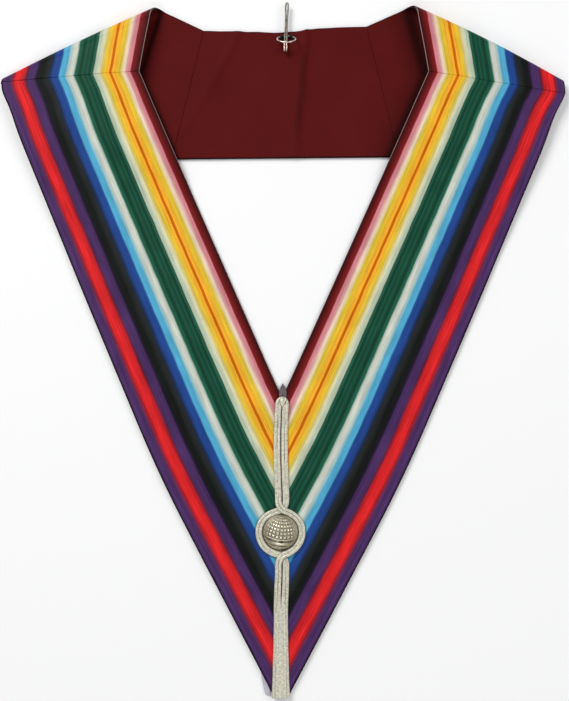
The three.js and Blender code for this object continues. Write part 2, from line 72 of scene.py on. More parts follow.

# Stripes from the inner edge: place as a share of the width, colour, and how light it is there. The dark
# stops at both edges and the dark start of the maroon stripe are painted shade where the ribbon turns over
# its edges
STRIPES = [
    (0.000, "edge_shade", 1.0), (0.008, "maroon", 0.20), (0.028, "maroon", 0.50), (0.058, "maroon", 1.0),
    (0.064, "maroon", 1.25), (0.069, "rose", 0.92), (0.088, "rose", 0.98), (0.101, "blush", 1.0),
    (0.110, "cream", 0.96), (0.121, "cream", 1.0), (0.131, "straw", 0.92), (0.143, "gold", 0.92),
    (0.162, "gold", 1.05), (0.177, "amber", 0.88), (0.198, "amber", 1.04), (0.206, "orange", 1.15),
    (0.213, "orange", 0.92), (0.219, "orange", 1.15), (0.227, "amber", 1.04), (0.241, "amber", 0.92),
    (0.254, "gold", 1.08), (0.268, "gold", 0.98), (0.280, "straw", 0.80), (0.291, "straw", 1.04),
    (0.303, "mist", 1.22), (0.318, "mist", 0.98), (0.333, "mist", 0.92), (0.340, "green", 1.10),
    (0.350, "green", 1.75), (0.358, "green", 0.85), (0.368, "green", 0.66), (0.378, "green", 1.15),
    (0.384, "green", 1.30), (0.392, "green", 0.82), (0.402, "green", 0.90), (0.410, "green", 1.30),
    (0.420, "green", 1.10), (0.432, "green", 0.66), (0.444, "green", 0.74), (0.454, "green", 1.60),
    (0.463, "green", 1.35), (0.471, "green", 2.4), (0.480, "ivory", 0.80), (0.494, "ivory", 1.0),
    (0.506, "ivory", 0.98), (0.517, "ivory", 0.88), (0.530, "ice", 1.0), (0.545, "sky", 0.92),
    (0.560, "sky", 0.94), (0.578, "sky", 1.0), (0.590, "royal", 1.10), (0.605, "royal", 1.0),
    (0.620, "royal", 1.04), (0.634, "royal", 0.88), (0.650, "navy", 1.0), (0.668, "black", 2.5),
    (0.688, "black", 1.9), (0.706, "black", 1.0), (0.738, "black", 1.05), (0.749, "purple", 0.30),
    (0.760, "purple", 0.88), (0.785, "purple", 1.0), (0.806, "purple", 0.92), (0.822, "wine", 0.72),
    (0.834, "red", 0.66), (0.850, "red", 0.90), (0.868, "red", 0.98), (0.884, "red", 1.05),
    (0.899, "red", 0.86), (0.907, "red", 0.60), (0.920, "wine", 1.0), (0.940, "purple", 1.0),
    (0.956, "purple", 0.92), (0.972, "purple", 1.2), (0.986, "purple", 0.90), (0.993, "edge_shade", 1.0),
    (1.000, "edge_shade", 1.0),
]

# Top edge of the back panel: share of the half length, then its rise as a share of the width
BACK_TOP = [
    (-1, 0), (-0.75, -0.008), (-0.4, -0.018), (-0.1, -0.030), (0.1, -0.026), (0.45, -0.004), (0.7, 0), (1, 0)]
# Creases of the back lining: share across, lean, width and height as shares of the width
BACK_CREASES = [
    (0.17, 0.18, 0.028, 0.0125), (0.12, 0.18, 0.08, 0.0050), (-0.82, 0.50, 0.042, 0.0110),
]
# Path of a strand past the button as shares of the ring: across, up, lift as a share of the strand
CROSSING = [
    (-0.174, 1.66, 0), (-0.168, 1.46, 0.5), (-0.128, 1.27, 1), (-0.045, 1.135, 1), (0.085, 1.048, 1),
    (0.26, 0.985, 0.9), (0.50, 0.873, 0.3), (0.72, 0.70, 0), (0.87, 0.49, 0), (0.97, 0.25, 0), (1, 0, 0),
]
# Middle of the doubled braid above the button: height over the notch and place across, in mm
BRAID_MIDDLE = [(-70, 0.15), (-56, -0.45), (-42, -0.85), (-28, -0.9), (-14, -0.5), (-6, 0.0), (1, 0.45)]
# Tail below the button: share of the way down, share of the strand's width
TAIL = [(0, 1), (0.2, 1.03), (0.4, 1.04), (0.6, 1.09), (0.8, 1.19), (1, 1.30)]
# Hook from its eye: share of the length, half spacing and height in wire radii
HOOK = [
    (0, 0, 7.6), (0.010, 0.80, 7.6), (0.040, 1.36, 7.6), (0.09, 1.50, 7.6), (0.18, 1.28, 7.6),
    (0.29, 1.04, 7.6), (0.50, 1.02, 7.6), (0.62, 1.08, 7.6), (0.74, 1.30, 7.6), (0.90, 1.45, 7.4),
    (0.970, 1.38, 8.2), (0.992, 1.25, 10.4), (0.972, 1.38, 12.8), (0.92, 1.45, 13.8), (0.86, 1.35, 14.2),
    (0.82, 0.9, 14.2), (0.81, 0, 14.2),
]
# Tape end beside the point: its outer and inner edge in mm from the notch
TAPE_OUTER = ((-14.6, -189.8), (-11.5, -204.1))
TAPE_INNER = ((-10.6, -189.2), (-7.5, -204.8))
# Soft undulation of the cloth: wavelength across and up in mm, and phase
SWELLS = [(61, 97, 0.4), (-83, 71, 1.9), (47, -118, 3.1), (133, 52, 4.4), (-38, 64, 5.2)]
# Puckers beside a seam: wavelength in mm and phase
PUCKERS = [(7.1, 0.0), (4.6, 1.7), (11.3, 3.1), (5.7, 4.2)]
PUCKER_REACH = 9 * MM

# Weave: pitch of the threads as shares of the ribbon's width, and stripes that one colour ramp takes
WEFT_PITCH, WARP_PITCH, LINING_PITCH = 0.62 / 101.6, 0.5 / 101.6, 0.45 / 101.6
RAMP_STOPS = 30

# Room at the seams between panels
SEAM_GAP, CENTRE_GAP = 0.03 * MM, 0.06 * MM
# Rows of points of a shoulder: behind, round the fold and above it, and those over which puckers grow
REAR_ROWS, FOLD_ROWS, UPPER_ROWS, GROWING_ROWS = 16, 22, 30, 12
# Distances from an edge at which the cloth has a row of points
EDGE_ROWS = np.array([0, 0.07, 0.2, 0.42, 0.75, 1.3]) * MM
# The front's lines meet the centre seam at a slant, which stretches the rows beside it
CENTRE_SLANT = 2.0

# Braid: length of a step along it, pitch of its wrapping and points across a strand, from its partner
BRAID_STEP, BRAID_PITCH = 0.24 * MM, 1.15 * MM
STRAND_TOP = np.array([
    0.0, 0.015, 0.04, 0.08, 0.13, 0.18, 0.23, 0.28, 0.33, 0.38, 0.43, 0.47, 0.50, 0.53, 0.57, 0.62, 0.67,
    0.72, 0.77, 0.82, 0.87, 0.92, 0.96, 0.985, 1.0])
STITCH_PITCH = 2.7 * MM
# Neck fittings: points round the ring and its wire, round the hook's wire, and round a thread
RING_POINTS, RING_SIDES, HOOK_SIDES, THREAD_SIDES = 96, 14, 12, 8


def length(name, description, millimetres):
    """A length property whose default is given in millimetres."""
    return bpy.props.FloatProperty(
        name=name, description=description, default=millimetres * MM, unit="LENGTH",
        subtype="DISTANCE", precision=5, min=0.0,
    )


def offset(name, description, millimetres):
    """A signed length property whose default is given in millimetres."""
    return bpy.props.FloatProperty(
        name=name, description=description, default=millimetres * MM, unit="LENGTH",
        subtype="DISTANCE", precision=5,
    )


def srgb(red, green, blue):
    """Linear colour of an 8 bit screen colour."""
    values = [c / 255 for c in (red, green, blue)]
    return tuple(c / 12.92 if c <= 0.04045 else ((c + 0.055) / 1.055) ** 2.4 for c in values)


def colour(name, description, red, green, blue):
    """A colour property whose default is given as an 8 bit screen colour."""
    return bpy.props.FloatVectorProperty(
        name=name, description=description, default=srgb(red, green, blue), size=3,
        subtype="COLOR", min=0.0, max=1.0,
    )


class CollarSizes(bpy.types.PropertyGroup):
    ribbon_width: length("Ribbon width", "Width of the woven ribbon", 101.6)
    ribbon_wall: length("Ribbon wall", "Thickness of the ribbon with its interlining", 1.1)
    lining_wall: length("Lining wall", "Thickness of the lining", 1.0)
    gap: length("Gap", "Room between the ribbon and its lining", 0.3)
    shoulder_span: length("Shoulder span", "Back seam to front seam across, at the neck", 46)
    shoulder_rise: length("Shoulder rise", "Back seam over the front seam, at the neck", 38.6)
    back_depth: length("Back depth", "Depth of the back panel", 103)
    front_length: length("Front length", "Inner edge of a front, from its seam to the notch", 266.6)
    shoulder_rear: length("Shoulder rear", "Back seam to the fold, along the neck", 35)
    fold_radius_neck: length("Fold radius at the neck", "Inner radius of the fold at the neck", 5.8)
    fold_radius_outer: length("Fold radius outside", "Inner radius of the fold at its outer end", 1.4)
    settle_length: length("Settle length", "From the fold to where the front lies down", 150)
    wave_height: length("Wave height", "Height of the waves past the fold", 0.8)
    wave_length: length("Wave length", "Length of the waves past the fold", 42)
    wave_onset: bpy.props.FloatProperty(
        name="Wave onset", description="How soon past the fold the waves begin", default=6)
    swell_height: length("Swell height", "Height of the soft undulation of the cloth", 0.55)
    pucker_height: length("Pucker height", "Height of the puckers beside the seams", 0.22)
    point_half_width: length("Point half width", "Half the width of the cut point", 5.7)
    corner_length: length("Corner length", "How far the outer corner is rounded", 14)
    easing: length("Outer easing", "How much the outer edge is drawn in past the shoulder", 1.35)
    easing_dip: length("Easing dip", "More of it, just below the corner", 1.4)
    edge_radius: length("Edge radius", "Roundness of the ribbon's edges", 0.5)
    seam_radius: length("Seam radius", "Roundness of the ribbon beside a seam", 0.5)


class TrimSizes(bpy.types.PropertyGroup):
    strand_width: length("Strand width", "Width of one strand of the braid", 4.85)
    strand_height: length("Strand height", "Height of one strand of the braid", 1.8)
    strand_gap: length("Strand gap", "Gap between the two strands", 0.25)
    ring_mid: length("Braid ring", "Radius of the braid's ring at the middle of the strand", 15.3)
    braid_rise: length("Braid rise", "Top of the braid over the notch", 1.0)
    tail_aside: offset("Tail aside", "End of the tails from the centre line", -0.7)
    tail_over: length("Tail over", "Tails past the point of the ribbon", 1.2)
    button_below: length("Button below", "Button's centre below the notch", 94.5)
    button_aside: offset("Button aside", "Button's centre from the centre line", -1)
    button_radius: length("Button radius", "Radius of the button's rim", 12.95)
    button_height: length("Button height", "Height of the button", 7.2)
    rim_height: length("Rim height", "Height of the button's rim", 1.1)
    tab_width: length("Tab width", "Width of the pointed tab", 5.3)
    tab_aside: offset("Tab aside", "Tab from the centre line", 0.6)
    tab_rise: length("Tab rise", "Tip of the tab over the notch", 10.6)
    tab_drop: length("Tab drop", "Foot of the tab below the notch", 14)
    tab_wall: length("Tab wall", "Thickness of the tab", 1)
    tab_ease: length("Tab ease", "Length over which the braid climbs the tab", 8)
    neck_ring_mid: length("Neck ring", "Radius of the neck ring at the middle of its wire", 6.9)
    neck_ring_wire: length("Ring wire", "Radius of the ring's wire", 0.6)
    neck_ring_tilt: bpy.props.FloatProperty(
        name="Ring tilt", description="How far the ring stands up", default=math.radians(46),
        subtype="ANGLE")
    neck_ring_in: length("Ring in", "Ring's centre in from the top edge", 8.6)
    fitting_aside: offset("Fitting aside", "Ring and hook from the centre line", 3.2)
    hook_wire: length("Hook wire", "Radius of the hook's wire", 0.62)
    hook_length: length("Hook length", "Length of the hook", 40.2)
    thread_wire: length("Thread bundle", "Radius of the ring's thread", 0.4)
    thread_apart: bpy.props.FloatProperty(
        name="Threads apart", description="Each thread from the ring's low point",
        default=math.radians(33), subtype="ANGLE")


class CollarColours(bpy.types.PropertyGroup):
    edge_thread: colour("Edge thread", "Pale selvedge of the inner edge", 150, 130, 124)
    # Painted shade where the ribbon turns over its edges
    edge_shade: colour("Dark edge", "Dark turned edge of the ribbon", 26, 14, 16)
    maroon: colour("Maroon", "Innermost stripe", 122, 28, 30)
    rose: colour("Rose", "Pink stripe", 214, 132, 140)
    blush: colour("Blush", "Outer side of the pink stripe", 211, 164, 160)
    cream: colour("Cream", "Cream line beside the rose stripe", 238, 210, 182)
    gold: colour("Gold", "Outer parts of the yellow stripe", 224, 188, 52)
    amber: colour("Amber", "Inner parts of the yellow stripe", 246, 178, 50)
    orange: colour("Orange", "Line in the yellow stripe", 196, 98, 2)
    straw: colour("Straw", "Pale line beside the yellow stripe", 226, 210, 146)
    mist: colour("Mist", "Pale green grey line", 186, 196, 172)
    green: colour("Green", "Green stripe", 24, 74, 55)
    ivory: colour("Ivory", "Off-white stripe", 206, 212, 200)
    ice: colour("Ice", "Pale line beside the light blue stripe", 158, 192, 192)
    sky: colour("Sky", "Light blue stripe", 84, 172, 208)
    royal: colour("Royal", "Royal blue stripe", 35, 70, 138)
    navy: colour("Navy", "Shade between the royal and the black stripe", 32, 42, 70)
    black: colour("Black", "Black stripe", 20, 23, 22)
    purple: colour("Purple", "Purple stripes", 74, 47, 95)
    wine: colour("Wine", "Shade on both sides of the red stripe", 116, 40, 72)
    red: colour("Red", "Red stripe", 222, 38, 42)
    lining: colour("Lining", "Plain lining", 90, 19, 16)
    braid: colour("Braid", "Silver braid", 219, 216, 198)
    braid_shade: colour("Braid shade", "Grooves of the braid", 84, 76, 62)
    button: colour("Button", "Metal of the button", 242, 234, 208)
    # Also the colour of the painted dark reflection bands on the dome
    button_shade: colour("Button shade", "Tarnish in the button's grooves", 52, 46, 34)
    # Painted highlight colour of the ring's front and the hook's lower bend
    fitting: colour("Fitting", "Bright metal of the ring and hook", 244, 226, 216)
    # Tarnish of the hook's shank, also the painted shade at the back of the ring
    fitting_tarnish_and_shade: colour("Dull fitting", "Worn metal of the hook", 134, 129, 116)
    tab: colour("Tab", "Tape of the pointed tab", 112, 100, 104)
    tape: colour("Tape end", "Tape end beside the point", 200, 195, 210)
    thread: colour("Thread", "Dark sewing thread", 20, 14, 16)
    floor: colour("Floor", "Plain pale floor", 254, 254, 254)


def smooth(t):
    """Eased step from 0 to 1."""
    c = np.clip(t, 0.0, 1.0)
    return c * c * (3 - 2 * c)


def mix(a, b, t):
    """Between a and b."""
    return a + (b - a) * t


def from_table(rows, key):
    """Eased value of a short table at each key."""
    keys, values = np.array(rows, float).T
    k = np.clip(np.searchsorted(keys, key, side="left") - 1, 0, len(keys) - 2)
    t = (key - keys[k]) / (keys[k + 1] - keys[k])
    return mix(values[k], values[k + 1], smooth(t))


def along_curve(points, count, closed=False):
    """Points of a centripetal curve through the given ones, evenly spaced by its own length."""
    p = np.array(points, float)
    if closed:
        p = np.vstack([p[-1], p, p[0], p[1]])
    else:
        p = np.vstack([2 * p[0] - p[1], p, 2 * p[-1] - p[-2]])
    found = []
    for k in range(1, len(p) - 2):
        a, b, c, d = p[k - 1], p[k], p[k + 1], p[k + 2]
        t1 = max(np.linalg.norm(b - a), 1e-9) ** 0.5
        t2 = t1 + max(np.linalg.norm(c - b), 1e-9) ** 0.5
        t3 = t2 + max(np.linalg.norm(d - c), 1e-9) ** 0.5
        for t in np.linspace(t1, t2, 24, endpoint=False):
            ab = a + (b - a) * t / t1
            bc = b + (c - b) * (t - t1) / (t2 - t1)
            cd = c + (d - c) * (t - t2) / (t3 - t2)
            abc = ab + (bc - ab) * t / t2
            bcd = bc + (cd - bc) * (t - t1) / (t3 - t1)
            found.append(abc + (bcd - abc) * (t - t1) / (t2 - t1))
    found.append(p[-2])
    return evenly(np.array(found), count)


def lengths_along(points):
    """Length of a line up to each of its points."""
    steps = np.linalg.norm(np.diff(points, axis=0), axis=1)
    return np.concatenate([[0], np.cumsum(steps)])


def points_at(wanted, reached, points):
    """Points of a line at the wanted lengths."""
    return np.stack([np.interp(wanted, reached, column) for column in points.T], axis=1)


def evenly(points, count):
    """The same line with evenly spaced points."""
    reached = lengths_along(points)
    return points_at(np.linspace(0, reached[-1], count), reached, points)


def swell(x, y):
    """Soft undulation from 0 to 1."""
    total = 0.0
    for across, up, phase in SWELLS:
        total = total + np.sin(x / (across * MM) * math.tau + y / (up * MM) * math.tau + phase)
    return 0.5 + total / (2 * len(SWELLS))


def ripple(along, seed):
    """Irregular puckers along a seam, from -1 to 1."""
    total = 0.0
    for wave, phase in PUCKERS:
        total = total + np.sin(along / (wave * MM) * math.tau + phase + seed * 1.3)
    return total / len(PUCKERS)


def rounded(distance, radius):
    """How far a face with a rounded edge drops at this distance from the edge."""
    inside = np.clip(1 - distance / radius, 0.0, 1.0)
    return radius * (1 - np.sqrt(np.maximum(0.0, 1 - inside**2)))


class SidePlan:
    """The plan of one side in the drawing plane, worked out as if it were the right one."""

    def __init__(self, sizes, side):
        share = SIDE_SHARES[side]
        self.sizes = sizes
        self.sign = share["sign"]
        self.share = share
        self.width = sizes.ribbon_width
        self.thickness = sizes.lining_wall + sizes.gap + sizes.ribbon_wall
        angle, turn, slope, lean, seam = (
            math.radians(share[k]) for k in ("angle", "turn", "fold", "lean", "seam"))
        self.angle = angle
        self.straight = sizes.front_length * share["front"]
        self.seam_in = self.straight * np.array([math.sin(angle), math.cos(angle)])
        lift = np.array([-sizes.shoulder_span * share["span"], sizes.shoulder_rise * share["rise"]])
        self.back_in = self.seam_in + lift
        deep = sizes.back_depth * share["deep"]
        self.back_out = self.back_in + np.array([deep * math.tan(lean), -deep])
        self.rear_dir = np.array([math.cos(turn), math.sin(turn)])
        self.rear_up = np.array([-math.sin(turn), math.cos(turn)])
        self.fold_dir = np.array([math.cos(slope), -math.sin(slope)])
        self.fold_in = np.array([-math.sin(slope), -math.cos(slope)])
        self.fold_start = self.back_in + self.rear_dir * sizes.shoulder_rear * share["rear"]
        self.cross = turn + slope
        self.fold_length = self.width / math.sin(self.cross)
        self.seam_dir = np.array([math.cos(seam), -math.sin(seam)])
        self.seam_up = np.array([math.sin(seam), math.cos(seam)])
        self.front_dir = np.array([-math.sin(angle), -math.cos(angle)])
        self.front_out = np.array([math.cos(angle), -math.sin(angle)])
        self.step = 2 * MM
        reach = self.straight + self.width * 3.4
        middles = np.arange(self.step / 2, reach, self.step)
        turned = self.bend_angle(middles)
        moves = np.stack([-np.sin(turned), -np.cos(turned)], axis=1) * self.step
        self.line = np.vstack([self.seam_in, self.seam_in + np.cumsum(moves, axis=0)])
        self.reach = reach
        edge = self.strip(self.reach_of(np.array([1.0]), self.outside_point), self.width)
        self.bottom = edge[0, 1]

    def bend_angle(self, s):
        """Direction of the front at a length s from its seam."""
        start = self.straight + BEND_FROM * self.width
        end = self.straight + BEND_TO * self.width
        return self.angle + math.radians(self.share["bend"]) * smooth((s - start) / (end - start))

    def strip(self, s, off):
        """Point of the front at a length s from its seam and off from its inner line."""
        k = np.clip(np.floor(s / self.step).astype(int), 0, len(self.line) - 2)
        t = (s / self.step - k)[..., None]
        base = mix(self.line[k], self.line[k + 1], t)
        a = self.bend_angle(s)
        return base + np.stack([np.cos(a), -np.sin(a)], axis=-1) * np.asarray(off)[..., None]

    def offset_at(self, u, past):
        """Distance from the inner line, drawn in at the outer corner and eased below it."""
        s = self.sizes
        t = np.maximum(0, 1 - past / s.corner_length)
        eased = s.easing * (1 - smooth(past / 0.19)) * mix(0.25, 1, smooth(past / (14 * MM)))
        eased = eased + s.easing_dip * np.exp(-(((past - 20 * MM) / (17 * MM)) ** 2))
        inner = self.share["tuck"] * MM * np.exp(-np.maximum(past, 0) / (45 * MM)) * (1 - u**3)
        return self.width * u - self.share["corner"] * s.corner_length * u**4 * t * t - eased * u + inner

    def drawn_in(self, u, past):
        """Share of the pattern at a share across: the stripes lie drawn in near the seam."""
        near = np.exp(-((past / (26 * MM)) ** 2))
        slip = self.share["slip"] * np.exp(-(((u - 0.9) / 0.065) ** 2))
        return u + near * (self.share["drift"] * np.sin(math.pi * u) - slip)

    def start_of(self, u, gap):
        """Where the front begins at the seam."""
        k = cross_of(self.front_dir, self.seam_dir)
        return -self.offset_at(u, 0) * cross_of(self.front_out, self.seam_dir) / k + 0.5 * gap / abs(k)

    def outside_point(self, p):
        """True above the cut of the point, at the outer edge."""
        return p[..., 0] > self.sizes.point_half_width

    def reach_of(self, u, inside):
        """How far along the line at share u a point stays inside, found by halving."""
        low = self.start_of(u, 0.0)
        high = np.full_like(low, self.reach - self.step)
        for _ in range(40):
            middle = (low + high) / 2
            kept = inside(self.strip(middle, self.width * u))
            low = np.where(kept, middle, low)
            high = np.where(kept, high, middle)
        return low

    def end_of(self, u, gap):
        """Where the front ends, at the centre seam or the cut of the point."""
        return self.reach_of(u, lambda p: (p[..., 0] > 0.5 * gap) & (p[..., 1] > self.bottom))

    def corner_share(self):
        """The share across whose line ends between the centre seam and the cut."""
        low, high = 0.5, 1.0
        for _ in range(30):
            u = (low + high) / 2
            end = self.strip(self.end_of(np.array([u]), 0.0), self.width * u)[0]
            if end[0] < 0.2 * MM:
                low = u
            else:
                high = u
        return low

    def seam_point(self, u):
        """Point of the front seam at share u."""
        reach = self.offset_at(u, 0) / np.dot(self.seam_dir, self.front_out)
        return self.seam_in + self.seam_dir * reach[..., None]

    def inner_radius(self, share):
        """Inner radius of the fold from its neck end to its outer end."""
        s = self.sizes
        return mix(s.fold_radius_neck, s.fold_radius_outer, np.clip(share, 0.0, 1.0))

    def underside(self, p):
        """Height of the underside of the upper layer over the table."""
        s = self.sizes
        rel = p - self.fold_start
        inward = rel @ self.fold_in
        along = rel @ self.fold_dir
        middle = self.inner_radius(along / self.fold_length) + self.thickness / 2
        inside = np.minimum((p - self.back_out) @ self.rear_up, p[..., 1] - self.back_out[1])
        reach = 0.28 * self.width
        support = (self.thickness + 1.5 * s.gap) * smooth((inside + reach) / reach)
        past = np.clip((inward - middle) / s.settle_length, 0.0, 1.0)
        fall = 0.5 * (1 + np.cos(math.pi * past))
        wave = s.wave_height * 0.5 * (1 - np.cos(math.tau * along / s.wave_length))
        rest = support + (2 * middle - support) * fall + wave * fall * smooth(past * s.wave_onset)
        free = smooth(past * 3)
        return rest + s.swell_height * swell(self.sign * p[..., 0], p[..., 1]) * free


def cross_of(a, b):
    """Cross product of two directions in the plane."""
    return a[0] * b[1] - a[1] * b[0]


class Drawing:
    """The sizes, both plans and the way from the drawing to the frame."""

    def __init__(self):
        scene = bpy.context.scene
        self.sizes = scene.collar_sizes
        self.trim = scene.collar_trim
        self.colours = scene.collar_colours
        self.plans = {side: SidePlan(self.sizes, side) for side in SIDES}
        self.thickness = self.plans["left"].thickness
        low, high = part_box("point_tab")
        self.shift = np.array([
            (low.x + high.x) / 2 - self.trim.tab_aside, high.y - self.trim.tab_rise, 0.0])
        self.back_top = (self.plans["left"].back_in[1] + self.plans["right"].back_in[1]) / 2
        self.braid_fall = self.trim.tail_over - min(plan.bottom for plan in self.plans.values())
        self.cloth_top = self.thickness + self.sizes.gap
        self.trim_foot = self.cloth_top + self.sizes.swell_height * 0.8
        self.tab_lift = self.trim.tab_wall + self.sizes.gap
        self.strand_half = (self.trim.strand_width + self.trim.strand_gap) / 2
        self.braid_top = self.trim.braid_rise - self.trim.strand_width / 2 - self.strand_half


def write_lay(mesh, pairs):
    """Writes a pair of numbers for each point into the mesh's lay."""
    corners = np.zeros(len(mesh.loops), np.int32)
    mesh.loops.foreach_get("vertex_index", corners)
    mesh.uv_layers["lay"].data.foreach_set("uv", np.asarray(pairs, np.float32)[corners].ravel())


def write_light_and_tone(piece, shade):
    """Keeps a painted light and tone value for each point in the first number of the lay."""
    write_lay(piece.data, np.column_stack([shade, np.zeros(len(shade))]))


def place_mesh(name, points, faces, uv=None, shift=None):
    """A smooth mesh object from points in the drawing, with its lay as a UV map."""
    mesh = bpy.data.meshes.new(name)
    moved = np.asarray(points, float) + (0 if shift is None else shift)
    mesh.from_pydata(moved.tolist(), [], faces)
    if uv is not None:
        mesh.uv_layers.new(name="lay")
        write_lay(mesh, uv)
    mesh.polygons.foreach_set("use_smooth", np.ones(len(mesh.polygons), bool))
    mesh.update()
    piece = bpy.data.objects.new(name, mesh)
    bpy.context.scene.collection.objects.link(piece)
    return piece


def grid_faces(rows, columns, first=0, turned=False, closed=False):
    """Faces of a grid of points, row by row; closed joins the last column to the first."""
    faces = []
    last = columns if closed else columns - 1
    for j in range(rows - 1):
        for i in range(last):
            a = first + j * columns + i
            b = first + j * columns + (i + 1) % columns
            quad = (a, b, b + columns, a + columns)
            faces.append(quad[::-1] if turned else quad)
    return faces


def sheet_piece(name, top, bottom, uv, shift, mirrored):
    """A closed sheet from two grids of points of the same shape."""
    rows, columns = top.shape[:2]
    count = rows * columns
    points = np.concatenate([top.reshape(-1, 3), bottom.reshape(-1, 3)])
    faces = grid_faces(rows, columns, 0, mirrored) + grid_faces(rows, columns, count, not mirrored)
    rim = list(range(columns))
    rim += [j * columns + columns - 1 for j in range(1, rows)]
    rim += [(rows - 1) * columns + i for i in range(columns - 2, -1, -1)]
    rim += [j * columns for j in range(rows - 2, 0, -1)]
    for k, a in enumerate(rim):
        b = rim[(k + 1) % len(rim)]
        quad = (b, a, a + count, b + count)
        faces.append(quad[::-1] if mirrored else quad)
    return place_mesh(name, points, faces, np.concatenate([uv.reshape(-1, 2)] * 2), shift)


def tube_faces(count, sides, first=0, closed=False):
    """Faces of a tube of rings, joined end to end or capped."""
    faces = grid_faces(count, sides, first, False, True)
    last = first + (count - 1) * sides
    if not closed:
        return faces + [tuple(range(first, first + sides))[::-1], tuple(range(last, last + sides))]
    for i in range(sides):
        b = (i + 1) % sides
        faces.append((last + i, last + b, first + b, first + i))
    return faces


def tube_piece(name, rings, closed, shift):
    """A tube from rings of section points."""
    count, sides = len(rings), len(rings[0])
    around = np.tile(np.arange(sides) / sides, count)
    along = np.repeat(np.arange(count) / count, sides)
    faces = tube_faces(count, sides, 0, closed)
    return place_mesh(name, np.concatenate(rings), faces, np.stack([around, along], axis=1), shift)


def wire_rings(line, radius, sides, closed=False):
    """Rings of a round wire along a line, with a frame that doesn't twist."""
    count = len(line)
    if closed:
        tangent = np.roll(line, -1, axis=0) - np.roll(line, 1, axis=0)
    else:
        tangent = np.gradient(line, axis=0)
    tangent = tangent / np.linalg.norm(tangent, axis=1)[:, None]
    normal = np.cross(tangent[0], [0.0, 0.0, 1.0])
    if np.linalg.norm(normal) < 0.2:
        normal = np.cross(tangent[0], [0.0, 1.0, 0.0])
    normals = []
    for t in tangent:
        normal = normal - t * np.dot(normal, t)
        normal = normal / np.linalg.norm(normal)
        normals.append(normal)
    normals = np.array(normals)
    if closed:
        flat = np.cross(normals[-1], normals[0])
        twist = math.atan2(np.dot(flat, tangent[0]), np.dot(normals[-1], normals[0]))
    else:
        twist = 0.0
    rings = []
    for k in range(count):
        binormal = np.cross(tangent[k], normals[k])
        a = math.tau * np.arange(sides) / sides + twist * k / count
        ring = np.outer(np.cos(a), normals[k]) + np.outer(np.sin(a), binormal)
        rings.append(line[k] + ring * radius)
    return rings


def shares_across(width, count, middle=None):
    """Shares across a ribbon, close together at both edges."""
    edge = EDGE_ROWS / width
    if middle is None:
        inner = np.linspace(edge[-1], 1 - edge[-1], count)
    else:
        first = max(2, round(count * middle))
        inner = np.concatenate([
            np.linspace(edge[-1], middle, first),
            np.linspace(middle, 1 - edge[-1], max(3, count - first))[1:]])
    return np.concatenate([edge[:-1], inner, (1 - edge[:-1])[::-1]])


def rows_along(start, end, count):
    """Lengths from start to end for every share across, close together at both ends."""
    head = start + EDGE_ROWS[:, None]
    tail = end - (EDGE_ROWS * CENTRE_SLANT)[::-1, None]
    t = np.linspace(0, 1, count)[1:-1, None]
    return np.concatenate([head, mix(head[-1], tail[0], t), tail])


def layer_faces(sizes, kind):
    """Heights of a layer's inner and outer face over the lining's inner face."""
    if kind == "lining":
        return 0.0, sizes.lining_wall
    low = sizes.lining_wall + sizes.gap
    return low, low + sizes.ribbon_wall


def edge_heights(kind, faces, edge, seam, sizes):
    """Inner and outer heights of a layer, rounded at its edges and drawn together at the seam."""
    low, high = faces
    outer_radius = sizes.edge_radius
    drop_outer = np.maximum(rounded(edge, outer_radius), rounded(seam, sizes.seam_radius))
    drop_inner = np.maximum(rounded(edge, outer_radius), rounded(seam, outer_radius))
    drop_outer = np.minimum(drop_outer, (high - low) * 0.8)
    drop_inner = np.minimum(drop_inner, (high - low) * 0.18)
    lip = 0.12 * MM * np.exp(-np.minimum(edge, seam) / (1.6 * MM))
    if kind == "lining":
        return low + drop_outer, high - drop_inner + lip
    return low + drop_inner - lip, high - drop_outer


def front_piece(drawing, side, kind):
    """One layer of a front: from the shoulder seam to the centre seam and the cut point."""
    plan, sizes = drawing.plans[side], drawing.sizes
    fine = kind == "ribbon"
    shares = shares_across(plan.width, 54 if fine else 26, plan.corner_share())
    start = plan.start_of(shares, CENTRE_GAP)
    end = plan.end_of(shares, CENTRE_GAP)
    s = rows_along(start, end, 200 if fine else 90)
    u = np.broadcast_to(shares, s.shape)
    p = plan.strip(s, plan.offset_at(u, s - start))
    edge = np.minimum(u, 1 - u) * plan.width
    seam = np.minimum(s - start, (end - s) / CENTRE_SLANT)
    low, high = edge_heights(kind, layer_faces(sizes, kind), edge, seam, sizes)
    rest = plan.underside(p) + sizes.pucker_height * (
        1 + ripple(u * plan.width, plan.sign) * np.exp(-(s - start) / PUCKER_REACH))
    x = plan.sign * p[..., 0]
    top = np.stack([x, p[..., 1], rest + high], axis=-1)
    bottom = np.stack([x, p[..., 1], rest + low], axis=-1)
    uv = np.stack([plan.drawn_in(u, s - start), s / plan.width], axis=-1)
    piece = sheet_piece(f"{kind}_{side}_front", top, bottom, uv, drawing.shift, plan.sign > 0)
    long = float((end - start).max())
    area = float(np.trapz(end - start, shares) * plan.width)
    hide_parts(f"{kind}_front_{side}")
    return piece, (plan.width, long), area


